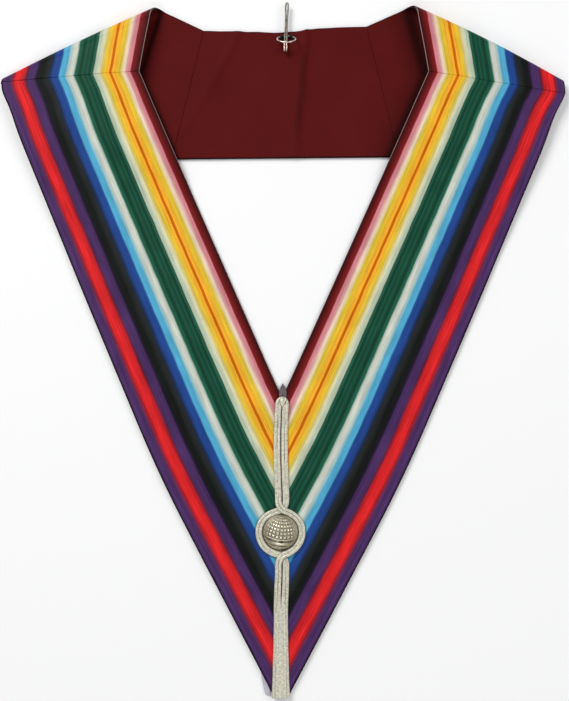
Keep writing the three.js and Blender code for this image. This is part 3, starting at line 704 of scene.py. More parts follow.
def shoulder_piece(drawing, side, kind):
    """One layer of a shoulder: flat on the table, round the fold, then over to the front seam."""
    plan, sizes = drawing.plans[side], drawing.sizes
    shares = shares_across(plan.width, 54 if kind == "ribbon" else 44)
    low, high = layer_faces(sizes, kind)
    inner = plan.inner_radius(shares)
    middle = inner + plan.thickness / 2
    base = shares * plan.fold_length - middle / math.tan(plan.cross)
    bow = plan.share["bow"] * plan.width * np.sin(math.pi * shares)

    def on_fold(theta, radius):
        along = base + middle * (theta + math.pi / 2) / math.tan(plan.cross)
        inward = middle - radius * math.cos(theta) - bow
        return plan.fold_start + along[:, None] * plan.fold_dir + inward[:, None] * plan.fold_in

    rear_start = plan.back_in + (plan.back_out - plan.back_in) * shares[:, None]
    rear_start = rear_start + np.array([SEAM_GAP, 0.0])
    rear_end = on_fold(-math.pi / 2, middle)
    upper_start = on_fold(math.pi / 2, middle)
    upper_end = plan.seam_point(shares) + plan.seam_up * SEAM_GAP

    def stations(start, end, count, close_first, close_last):
        size = np.linalg.norm(end - start, axis=1)
        t = np.linspace(0, 1, count)[:, None] * np.ones_like(size)
        if close_first:
            t = np.concatenate([EDGE_ROWS[:-1, None] / size, mix(EDGE_ROWS[-1] / size, 1, t)])
        if close_last:
            far = 1 - EDGE_ROWS[-1] / size
            t = np.concatenate([t * far, 1 - EDGE_ROWS[:-1][::-1, None] / size])
        return t

    rows_plan, rest, arch, seam = [], [], [], []
    t = stations(rear_start, rear_end, REAR_ROWS, True, False)
    size = np.linalg.norm(rear_end - rear_start, axis=1)
    for k in range(len(t)):
        rows_plan.append(mix(rear_start, rear_end, t[k][:, None]))
        arch.append(-math.pi / 2)
        rest.append(np.zeros_like(shares))
        seam.append(t[k] * size)
    for k in range(1, FOLD_ROWS):
        rows_plan.append(None)
        arch.append(-math.pi / 2 + math.pi * k / FOLD_ROWS)
        rest.append(np.zeros_like(shares))
        seam.append(np.full_like(shares, 1.0))
    t = stations(upper_start, upper_end, UPPER_ROWS, False, True)
    size = np.linalg.norm(upper_end - upper_start, axis=1)
    for k in range(len(t)):
        p = mix(upper_start, upper_end, t[k][:, None])
        rows_plan.append(p)
        arch.append(math.pi / 2)
        rest.append(plan.underside(p))
        seam.append((1 - t[k]) * size)
    edge = np.minimum(shares, 1 - shares) * plan.width
    tops, bottoms = [], []
    for k, theta in enumerate(arch):
        h_low, h_high = edge_heights(kind, (low, high), edge, seam[k], sizes)
        part = smooth((k - len(arch) + len(t) + 1) / GROWING_ROWS)
        rippled = ripple(shares * plan.width, plan.sign + 2) * np.exp(-seam[k] / PUCKER_REACH)
        for h, kept in ((h_low, bottoms), (h_high, tops)):
            if rows_plan[k] is None:
                p = on_fold(theta, inner + h)
                z = plan.thickness + inner + (inner + h) * math.sin(theta)
            else:
                p = rows_plan[k]
                z = plan.thickness - h
                if theta > 0:
                    z = rest[k] + h + sizes.pucker_height * (part + rippled * part)
            kept.append(np.stack([plan.sign * p[:, 0], p[:, 1], z], axis=-1))
    top, bottom = np.array(tops), np.array(bottoms)
    steps = np.linalg.norm(np.diff(top, axis=0), axis=2)
    run = np.concatenate([np.zeros((1, len(shares))), np.cumsum(steps, axis=0)])
    uv = np.stack([plan.drawn_in(shares, run[-1] - run), (run - run[-1]) / plan.width], axis=-1)
    piece = sheet_piece(f"{kind}_{side}_shoulder", top, bottom, uv, drawing.shift, plan.sign < 0)
    area = float(np.trapz(run[-1], shares) * plan.width)
    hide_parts(f"{kind}_shoulder_{side}")
    return piece, (plan.width, float(run[-1].max())), area


def back_piece(drawing, kind):
    """One layer of the back panel, face down, with the lining up."""
    left, right, sizes = drawing.plans["left"], drawing.plans["right"], drawing.sizes
    width = sizes.ribbon_width
    across = shares_across(0.16, 110 if kind == "lining" else 50)
    up = shares_across(width, 60 if kind == "lining" else 30)
    u, v = np.meshgrid(across, up)
    x0 = -mix(left.back_in[0], left.back_out[0], v) + SEAM_GAP
    x1 = mix(right.back_in[0], right.back_out[0], v) - SEAM_GAP
    rise = from_table(BACK_TOP, 2 * u - 1) * width * (1 - v)
    high = mix(left.back_in[1], right.back_in[1], u)
    low = mix(left.back_out[1], right.back_out[1], u)
    x, y = mix(x0, x1, u), mix(high, low, v) + rise
    lift = np.zeros_like(u)
    if kind == "lining":
        for at, lean, wide, tall in BACK_CREASES:
            off = 2 * u - 1 - at - lean * (0.5 - v)
            lift += tall * width * np.exp(-((off / wide) ** 2) / 2) * (1 - 0.5 * v)
        hem = np.abs(v - 0.925) * width
        lift += 0.16 * MM * smooth((v - 0.915) * 60) - 0.14 * MM * np.exp(-((hem / (0.9 * MM)) ** 2))
        free = smooth(np.minimum(u, 1 - u) * 8) * smooth((1 - v) * 8)
        lift += 0.3 * MM * swell(x * 1.7 + 0.02, y * 2.1) * free
    edge = np.minimum(v, 1 - v) * width
    seam = np.minimum(x - x0, x1 - x)
    h_low, h_high = edge_heights(kind, layer_faces(sizes, kind), edge, seam, sizes)
    top = np.stack([x, y, drawing.thickness - h_low + lift], axis=-1)
    bottom = np.stack([x, y, drawing.thickness - h_high + lift * (kind == "lining")], axis=-1)
    bottom[..., 2] = np.maximum(bottom[..., 2], drawing.thickness - layer_faces(sizes, kind)[1])
    uv = np.stack([v, x / width], axis=-1)
    piece = sheet_piece(f"{kind}_back_panel", top, bottom, uv, drawing.shift, True)
    area = float(np.mean((x1 - x0)[:, 0]) * width)
    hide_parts(f"{kind}_back")
    return piece, (width * 1.05, float((x1 - x0).max())), area


def opaque(shade):
    """A colour with full opacity."""
    return tuple(shade) + (1.0,)


class Surface:
    """A material in the making: its shader and the nodes that lead to it."""

    def __init__(self, name):
        self.material = bpy.data.materials.new(name)
        self.material.use_nodes = True
        self.tree = self.material.node_tree
        self.tree.nodes.clear()
        self.shader = self.add("ShaderNodeBsdfPrincipled")
        self.add("ShaderNodeOutputMaterial", [(0, self.shader.outputs[0])])

    def feed(self, node, inputs):
        """Links each result to its socket, or sets the socket to a plain value."""
        for socket, value in inputs:
            if isinstance(value, bpy.types.NodeSocket):
                self.tree.links.new(value, node.inputs[socket])
            else:
                node.inputs[socket].default_value = value

    def add(self, kind, inputs=(), **settings):
        """A node with its settings, values and links."""
        made = self.tree.nodes.new(kind)
        for key, value in settings.items():
            setattr(made, key, value)
        self.feed(made, inputs)
        return made

    def maths(self, operation, *values):
        """A maths node's result."""
        return self.add("ShaderNodeMath", enumerate(values), operation=operation).outputs[0]

    def product(self, first, *others):
        """Several values multiplied."""
        for other in others:
            first = self.maths("MULTIPLY", first, other)
        return first

    def tint(self, factor, first, second):
        """A colour between two others."""
        inputs = [(0, factor), (6, first), (7, second)]
        return self.add("ShaderNodeMix", inputs, data_type="RGBA").outputs[2]

    def lit(self, shade, light):
        """A colour made lighter or darker."""
        return self.add("ShaderNodeVectorMath", [(0, shade), (3, light)], operation="SCALE").outputs[0]

    def spread(self, value, low, high, start=0.0, end=1.0, easing="LINEAR"):
        """A value from start to end, spread between low and high and kept there beyond."""
        inputs = [(0, value), (1, start), (2, end), (3, low), (4, high)]
        return self.add("ShaderNodeMapRange", inputs, interpolation_type=easing).outputs[0]

    def ribs(self, value, pitch):
        """Waves of one pitch along a value."""
        return self.maths("SINE", self.product(value, math.tau / pitch))

    def lay(self):
        """The lay of the piece."""
        return self.add("ShaderNodeUVMap", uv_map="lay").outputs[0]

    def place(self):
        """The place on the piece itself."""
        return self.add("ShaderNodeTexCoord").outputs["Object"]

    def parts(self, vector):
        """The first two numbers of a vector."""
        found = self.add("ShaderNodeSeparateXYZ", [(0, vector)]).outputs
        return found[0], found[1]

    def lay_noise(self, lay, across, along, detail):
        """Noise over the lay, with its grain drawn out along the ribbon."""
        scaled = self.add(
            "ShaderNodeVectorMath", [(0, lay), (1, (across, along, 1.0))], operation="MULTIPLY").outputs[0]
        inputs = [("Vector", scaled), ("Scale", 1.0), ("Detail", detail)]
        return self.add("ShaderNodeTexNoise", inputs, noise_dimensions="2D").outputs[0]

    def solid_noise(self, scale, detail, roughness=0.5):
        """Noise through the piece itself."""
        inputs = [("Vector", self.place()), ("Scale", scale), ("Detail", detail), ("Roughness", roughness)]
        return self.add("ShaderNodeTexNoise", inputs).outputs[0]

    def finish(self, base, roughness, height, strength, depth, metallic=0.0, specular=0.5):
        """Gives the shader its colour, roughness, relief and plain values."""
        bump = self.add("ShaderNodeBump", [
            ("Strength", strength), ("Distance", depth), ("Height", height)])
        self.feed(self.shader, [
            ("Base Color", base), ("Roughness", roughness), ("Normal", bump.outputs[0]),
            ("Metallic", metallic), ("Specular IOR Level", specular)])
        return self.material


def striped_colour(surface, across, colours):
    """Colour of the woven stripes: several ramps side by side."""
    stops = [
        (place, opaque(min(1.0, c * light) for c in getattr(colours, name)))
        for place, name, light in STRIPES]
    result = None
    for first in range(0, len(stops) - 1, RAMP_STOPS):
        part = stops[first:first + RAMP_STOPS + 1]
        low, high = part[0][0], part[-1][0]
        ramp = surface.add("ShaderNodeValToRGB", [(0, surface.spread(across, 0.0, 1.0, low, high))])
        elements = ramp.color_ramp.elements
        elements[0].position, elements[0].color = 0.0, part[0][1]
        elements[1].position, elements[1].color = 1.0, part[-1][1]
        for place, shade in part[1:-1]:
            elements.new((place - low) / (high - low)).color = shade
        if result is None:
            result = ramp.outputs[0]
        else:
            past = surface.maths("GREATER_THAN", across, low)
            result = surface.tint(past, result, ramp.outputs[0])
    return result


def ribbon_material(drawing):
    """Woven satin ribbon with lengthwise stripes, fine ribs and a soft gloss."""
    s = Surface("striped_ribbon")
    lay = s.lay()
    across, along = s.parts(lay)
    wander = s.spread(s.lay_noise(lay, 5.0, 7.0, 2.0), -0.0032, 0.0032)
    woven = striped_colour(s, s.maths("ADD", across, wander), drawing.colours)
    rim = s.spread(across, 1.0, 0.0, 0.0036, 0.0056)
    near = s.spread(along, 1.0, 0.25, 0.62, 0.90)
    over = s.spread(along, 0.0, 1.0, -0.56, -0.46)
    edged = s.tint(s.product(rim, near, over), woven, opaque(drawing.colours.edge_thread))
    streaks = s.lay_noise(lay, 170.0, 3.2, 3.0)
    fine = s.lay_noise(lay, 420.0, 9.0, 2.0)
    clouds = s.lay_noise(lay, 16.0, 5.0, 3.0)
    dark = s.spread(across, 0.5, 1.0, 0.60, 0.76)
    wide = s.maths("MULTIPLY_ADD", s.spread(streaks, -0.62, 0.62), dark, 1.0)
    light = s.product(wide, s.spread(fine, 0.86, 1.14), s.spread(clouds, 0.80, 1.20))
    weft = s.product(s.ribs(along, WEFT_PITCH), 0.4)
    warp = s.product(s.ribs(across, WARP_PITCH), 0.3)
    height = s.maths("ADD", s.maths("ADD", weft, warp), s.product(streaks, 2.4))
    rough = s.spread(clouds, 0.38, 0.56)
    return s.finish(s.lit(edged, light), rough, height, 0.5, 0.06 * MM, specular=0.06)


def painted_fold_shadow(surface, drawing):
    """Painted shadow on the lining where the raised neck edges and folds lie over it."""
    place = surface.place()
    tones = []
    for plan in drawing.plans.values():
        corner = np.array([plan.sign * plan.seam_in[0], plan.seam_in[1]]) + drawing.shift[:2]
        rise = plan.fold_start - plan.seam_in
        rise = rise / np.linalg.norm(rise)
        reaches = []
        for inward in (-plan.front_out, np.array([-rise[1], rise[0]])):
            normal = np.array([plan.sign * inward[0], inward[1]])
            reach = surface.add("ShaderNodeVectorMath", [
                (0, place), (1, (normal[0], normal[1], 0.0))], operation="DOT_PRODUCT").outputs[1]
            reaches.append(surface.maths("SUBTRACT", reach, float(corner @ normal)))
        nearest = surface.maths("ABSOLUTE", surface.maths("MINIMUM", *reaches))
        # Painted shadow: darkest at the neck edges, fading over a near and a far reach
        for reach, low in ((plan.share["shadow_near"] * MM, 0.36), (plan.share["shadow_far"] * MM, 0.68)):
            tones.append(surface.spread(nearest, low, 1.0, 0.0, reach, "SMOOTHSTEP"))
    return surface.product(*tones)


def lining_material(drawing):
    """Plain weave lining with a faint crosswise slub, darker at its edges, one painted crease shade and
    painted shadow beside the neck edges.
    """
    s = Surface("plain_lining")
    lay = s.lay()
    across, along = s.parts(lay)
    slub = s.lay_noise(lay, 14.0, 120.0, 3.0)
    clouds = s.lay_noise(lay, 3.2, 3.0, 3.0)
    inside = s.maths("MINIMUM", across, s.maths("SUBTRACT", 1.0, across))
    rim = s.spread(inside, 0.35, 1.0, 0.003, 0.011)
    # A darker band along one crease of the lining: painted shade
    beside = s.maths("ADD", along, s.product(across, 0.093))
    beside = s.maths("ABSOLUTE", s.maths("SUBTRACT", beside, 0.186))
    painted_crease_shade = s.spread(beside, 0.34, 0.0, 0.0, 0.042, "SMOOTHSTEP")
    middle = s.spread(inside, 0.0, 1.0, 0.06, 0.30, "SMOOTHSTEP")
    painted_crease_shade = s.maths("SUBTRACT", 1.0, s.product(painted_crease_shade, middle))
    light = s.product(s.spread(slub, 0.9, 1.1), s.spread(clouds, 0.84, 1.16), rim,
                      painted_fold_shadow(s, drawing), painted_crease_shade)
    red, green, blue = drawing.colours.lining
    warm = s.tint(clouds, (red, green, blue, 1.0), (red * 0.92, green * 0.75, blue * 1.25, 1.0))
    weave = s.product(s.ribs(along, LINING_PITCH), s.ribs(across, LINING_PITCH))
    height = s.maths("ADD", weave, s.product(slub, 2.0))
    return s.finish(s.lit(warm, light), s.spread(slub, 0.55, 0.7), height, 0.5, 0.05 * MM, specular=0.06)


def braid_material(drawing):
    """Silver braid: wrapped threads over two cords, with painted shade in the grooves, between the strands
    and at the edges.
    """
    s = Surface("silver_braid")
    grain = s.solid_noise(700.0, 3.0)
    patches = s.solid_noise(60.0, 2.0)
    red, green, blue = drawing.colours.braid
    warm = s.tint(patches, (red, green, blue, 1.0), (red, green * 0.975, blue * 0.95, 1.0))
    ridge = s.spread(s.parts(s.lay())[0], 0.0, 1.0, 0.15, 0.95)
    toned = s.tint(ridge, opaque(drawing.colours.braid_shade), warm)
    base = s.lit(toned, s.spread(grain, 0.35, 1.60))
    return s.finish(base, s.spread(patches, 0.32, 0.48), grain, 0.4, 0.08 * MM, metallic=0.25)


def fitting_material(drawing):
    """Plated wire: dull and tarnished where the lay is low, with a painted highlight where it is high."""
    s = Surface("plated_wire")
    tarnish = s.solid_noise(420.0, 4.0, 0.6)
    tone_and_painted_light = s.maths("ADD", s.parts(s.lay())[0], s.spread(tarnish, -0.5, 0.5))
    amount = s.spread(tone_and_painted_light, 0.0, 1.0)
    base = s.tint(amount, opaque(drawing.colours.fitting_tarnish_and_shade), opaque(drawing.colours.fitting))
    return s.finish(base, s.spread(amount, 0.62, 0.26), tarnish, 0.25, 0.05 * MM, metallic=1.0)


def button_material(drawing):
    """Antique silver, tarnished in the grooves of the globe, with painted dark reflection bands."""
    s = Surface("antique_silver")
    spots = s.solid_noise(700.0, 4.0, 0.6)
    tone_and_painted_light = s.maths("ADD", s.parts(s.lay())[0], s.spread(spots, -0.25, 0.25))
    amount = s.spread(tone_and_painted_light, 0.0, 1.0, 0.05, 0.95)
    dark, bright = opaque(drawing.colours.button_shade), opaque(drawing.colours.button)
    base = s.tint(s.maths("POWER", amount, 1.35), dark, bright)
    return s.finish(base, s.spread(amount, 0.62, 0.38), spots, 0.3, 0.06 * MM, metallic=1.0)


def tape_material(drawing, name):
    """Narrow woven tape or thread with fine ribs."""
    shade, pitch = TAPES[name]
    s = Surface(name)
    ribs = s.ribs(s.parts(s.place())[1], pitch)
    clouds = s.solid_noise(700.0, 3.0)
    light = s.maths("ADD", s.spread(clouds, 0.75, 1.2), s.product(ribs, 0.08))
    base = s.lit(tuple(getattr(drawing.colours, shade)), light)
    return s.finish(base, s.spread(clouds, 0.5, 0.7), ribs, 0.6, 0.08 * MM, specular=0.3)


FINISHES = {
    "striped_ribbon": ribbon_material, "plain_lining": lining_material, "silver_braid": braid_material,
    "plated_wire": fitting_material, "antique_silver": button_material,
}
# Tapes and threads: their colour and the pitch of their ribs
TAPES = {"tab_tape": ("tab", 0.7 * MM), "pale_tape": ("tape", 0.7 * MM), "dark_thread": ("thread", 0.6 * MM)}


def dress(drawing, piece, finish):
    """Gives a piece its material, made once, and lets it ride on the collar."""
    material = bpy.data.materials.get(finish)
    if material is None:
        material = tape_material(drawing, finish) if finish in TAPES else FINISHES[finish](drawing)
    piece.data.materials.append(material)
    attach(piece, "root")


class CollarStep(bpy.types.Operator):
    """A step in building the collar"""

    bl_idname = "collar.step"
    bl_label = "Collar step"
    bl_options = {"REGISTER", "UNDO"}

    def build(self, drawing):
        """Makes the pieces of this step."""
        return None

    def execute(self, context):
        self.build(Drawing())
        return {"FINISHED"}


# Material of each layer of the cloth
LAYER_FINISH = {"ribbon": "striped_ribbon", "lining": "plain_lining"}


class CollarFronts(CollarStep):
    """Builds the ribbon and lining of the two fronts"""

    bl_idname = "collar.fronts"
    bl_label = "Fronts"

    def build(self, drawing):
        for side in SIDES:
            for kind, below in (("ribbon", f"lining_{side}_front"), ("lining", "stage_floor")):
                piece, flat, area = front_piece(drawing, side, kind)
                dress(drawing, piece, LAYER_FINISH[kind])


class CollarShoulders(CollarStep):
    """Builds the folded shoulders with their lining"""

    bl_idname = "collar.shoulders"
    bl_label = "Shoulders"

    def build(self, drawing):
        for side in SIDES:
            for kind, below in (("ribbon", "stage_floor"), ("lining", f"ribbon_{side}_shoulder")):
                piece, flat, area = shoulder_piece(drawing, side, kind)
                dress(drawing, piece, LAYER_FINISH[kind])


class CollarBack(CollarStep):
    """Builds the back panel, which lies face down"""

    bl_idname = "collar.back"
    bl_label = "Back panel"

    def build(self, drawing):
        for kind, below in (("ribbon", "stage_floor"), ("lining", "ribbon_back_panel")):
            piece, flat, area = back_piece(drawing, kind)
            dress(drawing, piece, LAYER_FINISH[kind])


def stitch_row(line, tangent, size, radius):
    """Small stitches laid one after another along a line of points."""
    reached = lengths_along(line)
    middles = points_at(np.arange(STITCH_PITCH, reached[-1] - STITCH_PITCH / 2, STITCH_PITCH), reached, line)
    rings, sides = 7, 8
    a = math.pi * (np.arange(rings)[:, None, None] + 0.5) / rings
    b = math.tau * np.arange(sides)[:, None] / sides
    aside = np.array([-tangent[1], tangent[0], 0.0])
    upward = np.array([0.0, 0.0, 1.0])
    shape = tangent * (-np.cos(a) * size / 2) + aside * radius * np.sin(a) * np.cos(b)
    shape = (shape + upward * radius * np.sin(a) * np.sin(b)).reshape(-1, 3)
    points = (middles[:, None] + shape).reshape(-1, 3)
    faces = []
    for k in range(len(middles)):
        faces += tube_faces(rings, sides, k * rings * sides)
    return points, faces


class CollarSeams(CollarStep):
    """Sews the shoulder seams and the back seams"""

    bl_idname = "collar.seams"
    bl_label = "Seam stitches"

    def build(self, drawing):
        thickness, pucker = drawing.thickness, drawing.sizes.pucker_height
        for side in SIDES:
            plan = drawing.plans[side]
            u = np.linspace(0.02, 0.985, 60)
            p = plan.seam_point(u)
            sunk = mix(0.85, 0.04, smooth((u - 0.66) / 0.2)) * MM
            front = np.column_stack([p, plan.underside(p) + pucker + thickness - sunk])
            v = np.linspace(0.03, 0.97, 60)[:, None]
            back_seam = plan.back_out - plan.back_in
            back = np.column_stack([plan.back_in + back_seam * v, np.full(60, thickness - 0.5 * MM)])
            back_dir = back_seam / np.linalg.norm(back_seam)
            flip = np.array([plan.sign, 1.0, 1.0])
            for where, line, direction, size, radius in (
                    ("front", front, plan.seam_dir, 1.8 * MM, 0.22 * MM),
                    ("back", back, back_dir, 2.0 * MM, 0.2 * MM)):
                points, faces = stitch_row(line * flip, np.append(direction, 0.0) * flip, size, radius)
                piece = place_mesh(f"seam_stitches_{side}_{where}", points, faces, None, drawing.shift)
                dress(drawing, piece, "dark_thread")


def braid_middle(y):
    """Place across of the doubled braid's middle, above the button."""
    return from_table(BRAID_MIDDLE, y / MM) * MM


def strand_path(drawing, sign, over):
    """One strand from the top of the braid to its tail: place, lift, width and how flat it lies."""
    trim = drawing.trim
    half, top = drawing.strand_half, drawing.braid_top
    cx, cy, ring = trim.button_aside, -trim.button_below, trim.ring_mid
    rows = []
    loop_top = cy + CROSSING[0][1] * 0.942 * ring
    for k in range(90):
        y = mix(top, loop_top, k / 90)
        climb = float(smooth((y + trim.tab_drop + drawing.sizes.gap) / trim.tab_ease + 1))
        wide = trim.strand_width * mix(0.96, 1.03, float(smooth(k / 45)))
        x = float(braid_middle(y)) + sign * half * wide / trim.strand_width
        rows.append((x, y, drawing.tab_lift * climb, wide, 0.0))
    knots = list(CROSSING) + [(x, -y, lift) for x, y, lift in CROSSING[-2::-1]]
    above = (trim.strand_height * 0.8) if over else 0.0
    joined = float(braid_middle(loop_top)) - cx
    for x, y, lift in along_curve(knots, 240):
        aside = joined * float(smooth((abs(y) - 0.8) / 0.4))
        squash = 1 - 0.058 * float(smooth((y - 0.15) / 0.7))
        rows.append((cx + aside - sign * x * ring, cy + y * squash * ring, max(0.0, lift) * above,
                     trim.strand_width, 0.0))
    tail_top = cy - CROSSING[0][1] * ring
    for k in range(1, 121):
        t = k / 120
        flat = float(smooth(t * 4.0 - 0.62))
        w = trim.strand_width * float(from_table(TAIL, t))
        between = mix(trim.strand_gap, -0.25 * MM, flat)
        middle = mix(cx + joined, trim.tail_aside, float(smooth(t * 3)))
        rows.append((middle + sign * (w + between) / 2, mix(tail_top, -drawing.braid_fall, t), 0.0, w, flat))
    return rows


def braid_line(drawing):
    """The doubled braid as one line, evenly spaced and eased."""
    half, top = drawing.strand_half, drawing.braid_top
    turn = []
    for k in range(1, 24):
        a = math.pi * (1 - k / 24)
        turn.append((float(braid_middle(top)) + half * math.cos(a), top + half * math.sin(a),
                     drawing.tab_lift, drawing.trim.strand_width * 0.96, 0.0))
    left = strand_path(drawing, -1, True)[::-1]
    right = strand_path(drawing, 1, False)
    rows = np.array(left + turn + right)
    reached = lengths_along(rows[:, :3])
    fine = points_at(np.linspace(0, reached[-1], int(reached[-1] / BRAID_STEP)), reached, rows)
    ease = 7
    padded = np.vstack([2 * fine[0] - fine[ease:0:-1], fine, 2 * fine[-1] - fine[-2:-ease - 2:-1]])
    kernel = np.ones(2 * ease + 1) / (2 * ease + 1)
    return np.stack([np.convolve(column, kernel, "valid") for column in padded.T], axis=1)


def strand_heights(places, groove, merge):
    """Height of a strand's section: two cords with a groove, the inner one flattened as merge grows."""
    inner = np.clip(places / groove, 0, 1)
    outer = np.clip((places - groove) / (1 - groove), 0, 1)
    round_in = np.sqrt(np.maximum(0, 1 - (2 * inner - 1) ** 2))
    round_out = np.sqrt(np.maximum(0, 1 - (2 * outer - 1) ** 2))
    flattened = np.where(inner < 0.6, mix(round_in, 0.93, merge), round_in)
    heights = np.where(places < groove, 0.40 + 0.60 * flattened, 0.40 + 0.60 * round_out)
    heights = np.maximum(heights, 0.74 * np.exp(-(((places - groove) / 0.16) ** 4)))
    for place in (groove * 0.5, groove + (1 - groove) * 0.5):
        heights = heights - 0.045 * np.exp(-(((places - place) / 0.022) ** 2))
    return heights


class CollarBraid(CollarStep):
    """Builds the doubled braid with its wrapped cords, and the folded tip at its top"""

    bl_idname = "collar.braid"
    bl_label = "Braid"

    def build(self, drawing):
        trim = drawing.trim
        line = braid_line(drawing)
        tangent = np.gradient(line[:, :2], axis=0)
        tangent = tangent / np.linalg.norm(tangent, axis=1)[:, None]
        tangent[0], tangent[-1] = (0.0, 1.0), (0.0, -1.0)
        z0 = drawing.trim_foot
        # depth holds the painted shade of each point, from 0 dark to 1 light
        rings, depth = [], []
        places = STRAND_TOP
        for k, (x, y, lift, width, flat) in enumerate(line):
            side = np.array([tangent[k, 1], -tangent[k, 0]])
            groove = mix(0.5, 0.66, flat)
            heights = strand_heights(places, groove, flat) * mix(1.0, 0.74, flat)
            turn = np.where(places < groove, places / groove, (1 - places) / (1 - groove))
            phase = (k * BRAID_STEP + turn * width * 0.36) / BRAID_PITCH * math.tau
            ribs = np.sin(phase) * np.sin(np.pi * np.clip(turn, 0, 1)) ** 0.5 * mix(1.0, 0.55, flat)
            up = (heights + 0.05 * ribs) * trim.strand_height
            across = (0.5 - places) * width
            top = np.column_stack([x + side[0] * across, y + side[1] * across, z0 + lift + up])
            under = across[[24, 17, 7, 0]] * 0.94
            low = np.column_stack([x + side[0] * under, y + side[1] * under, np.full(4, z0 + lift)])
            rings.append(np.vstack([top, low]))
            # Painted shade in the grooves, in the gap between the strands and at the outer edge, and a
            # painted highlight on the crests of the wrapping; how dark the grooves are varies along the
            # braid. The four points under the braid get a dark painted shade
            so_far = k * BRAID_STEP / MM
            tone_and_painted_light = 0.62 + 0.26 * math.sin(so_far / 9.7) + 0.12 * math.sin(so_far / 2.3)
            dip = np.exp(-(((places - groove) / 0.06) ** 2)) * mix(0.95, 0.60, flat) * tone_and_painted_light
            for at in (groove * 0.5, groove + (1 - groove) * 0.5):
                dip = np.maximum(dip, 0.40 * (1.3 - tone_and_painted_light) * np.exp(-(((places - at) / 0.045) ** 2)))
            seam = mix(np.exp(-((places / 0.075) ** 2)), 0.0, flat)
            rim = np.exp(-(((1 - places) / 0.06) ** 2)) * 0.35
            shade = 1 - np.maximum(np.maximum(dip, seam), rim) * 0.85 + 0.16 * ribs
            depth.append(np.concatenate([shade, [0.1] * 4]))
        piece = tube_piece("silver_braid", rings, False, drawing.shift)
        write_light_and_tone(piece, np.concatenate(depth))
        dress(drawing, piece, "silver_braid")
        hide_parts("braid")
        self.tip(drawing, z0 + drawing.tab_lift)

    def tip(self, drawing, base):
        """The braid's folded end, pressed down between the strands at the top."""
        trim = drawing.trim
        rows, columns = 44, 41
        t = np.linspace(0, 1, rows)[:, None]
        w = np.linspace(-1, 1, columns)[None, :]
        half = 2.95 * MM * (1 - t**1.5) ** 0.85 * (0.72 + 0.28 * smooth(t * 4))
        x = mix(0.95, 0.05, t) * MM + half * w
        y = (mix(-0.7, -7.4, t) + 0.7 * w * (1 - t)) * MM + 0 * x
        dome = np.sqrt(np.maximum(0, 1 - (w * 0.96) ** 2)) * (1 - t**6)
        line = np.exp(-(((w - 0.12) / 0.10) ** 2)) * smooth(1.4 - 2 * t)
        up = (0.70 + 0.62 * dome - 0.04 * line) * trim.strand_height
        top = np.stack([x, y, base + up], axis=-1)
        low = np.stack([x, y, np.full_like(x, base + 0.25 * trim.strand_height)], axis=-1)
        # Painted shade: a dark outline round the tip, a dark line down it and a dark end where it tucks under
        # the strands
        outline = smooth(1.5 - (1 - np.abs(w)) * half / (0.5 * MM)) * smooth((t - 0.08) / 0.15)
        shade = np.clip(1.05 - 0.45 * line - 1.1 * np.maximum(outline, smooth((t - 0.90) / 0.08)), 0, 1)
        lay = np.stack([shade, 0 * shade], axis=-1)
        piece = sheet_piece("braid_tip", top, low, lay, drawing.shift, False)
        dress(drawing, piece, "silver_braid")


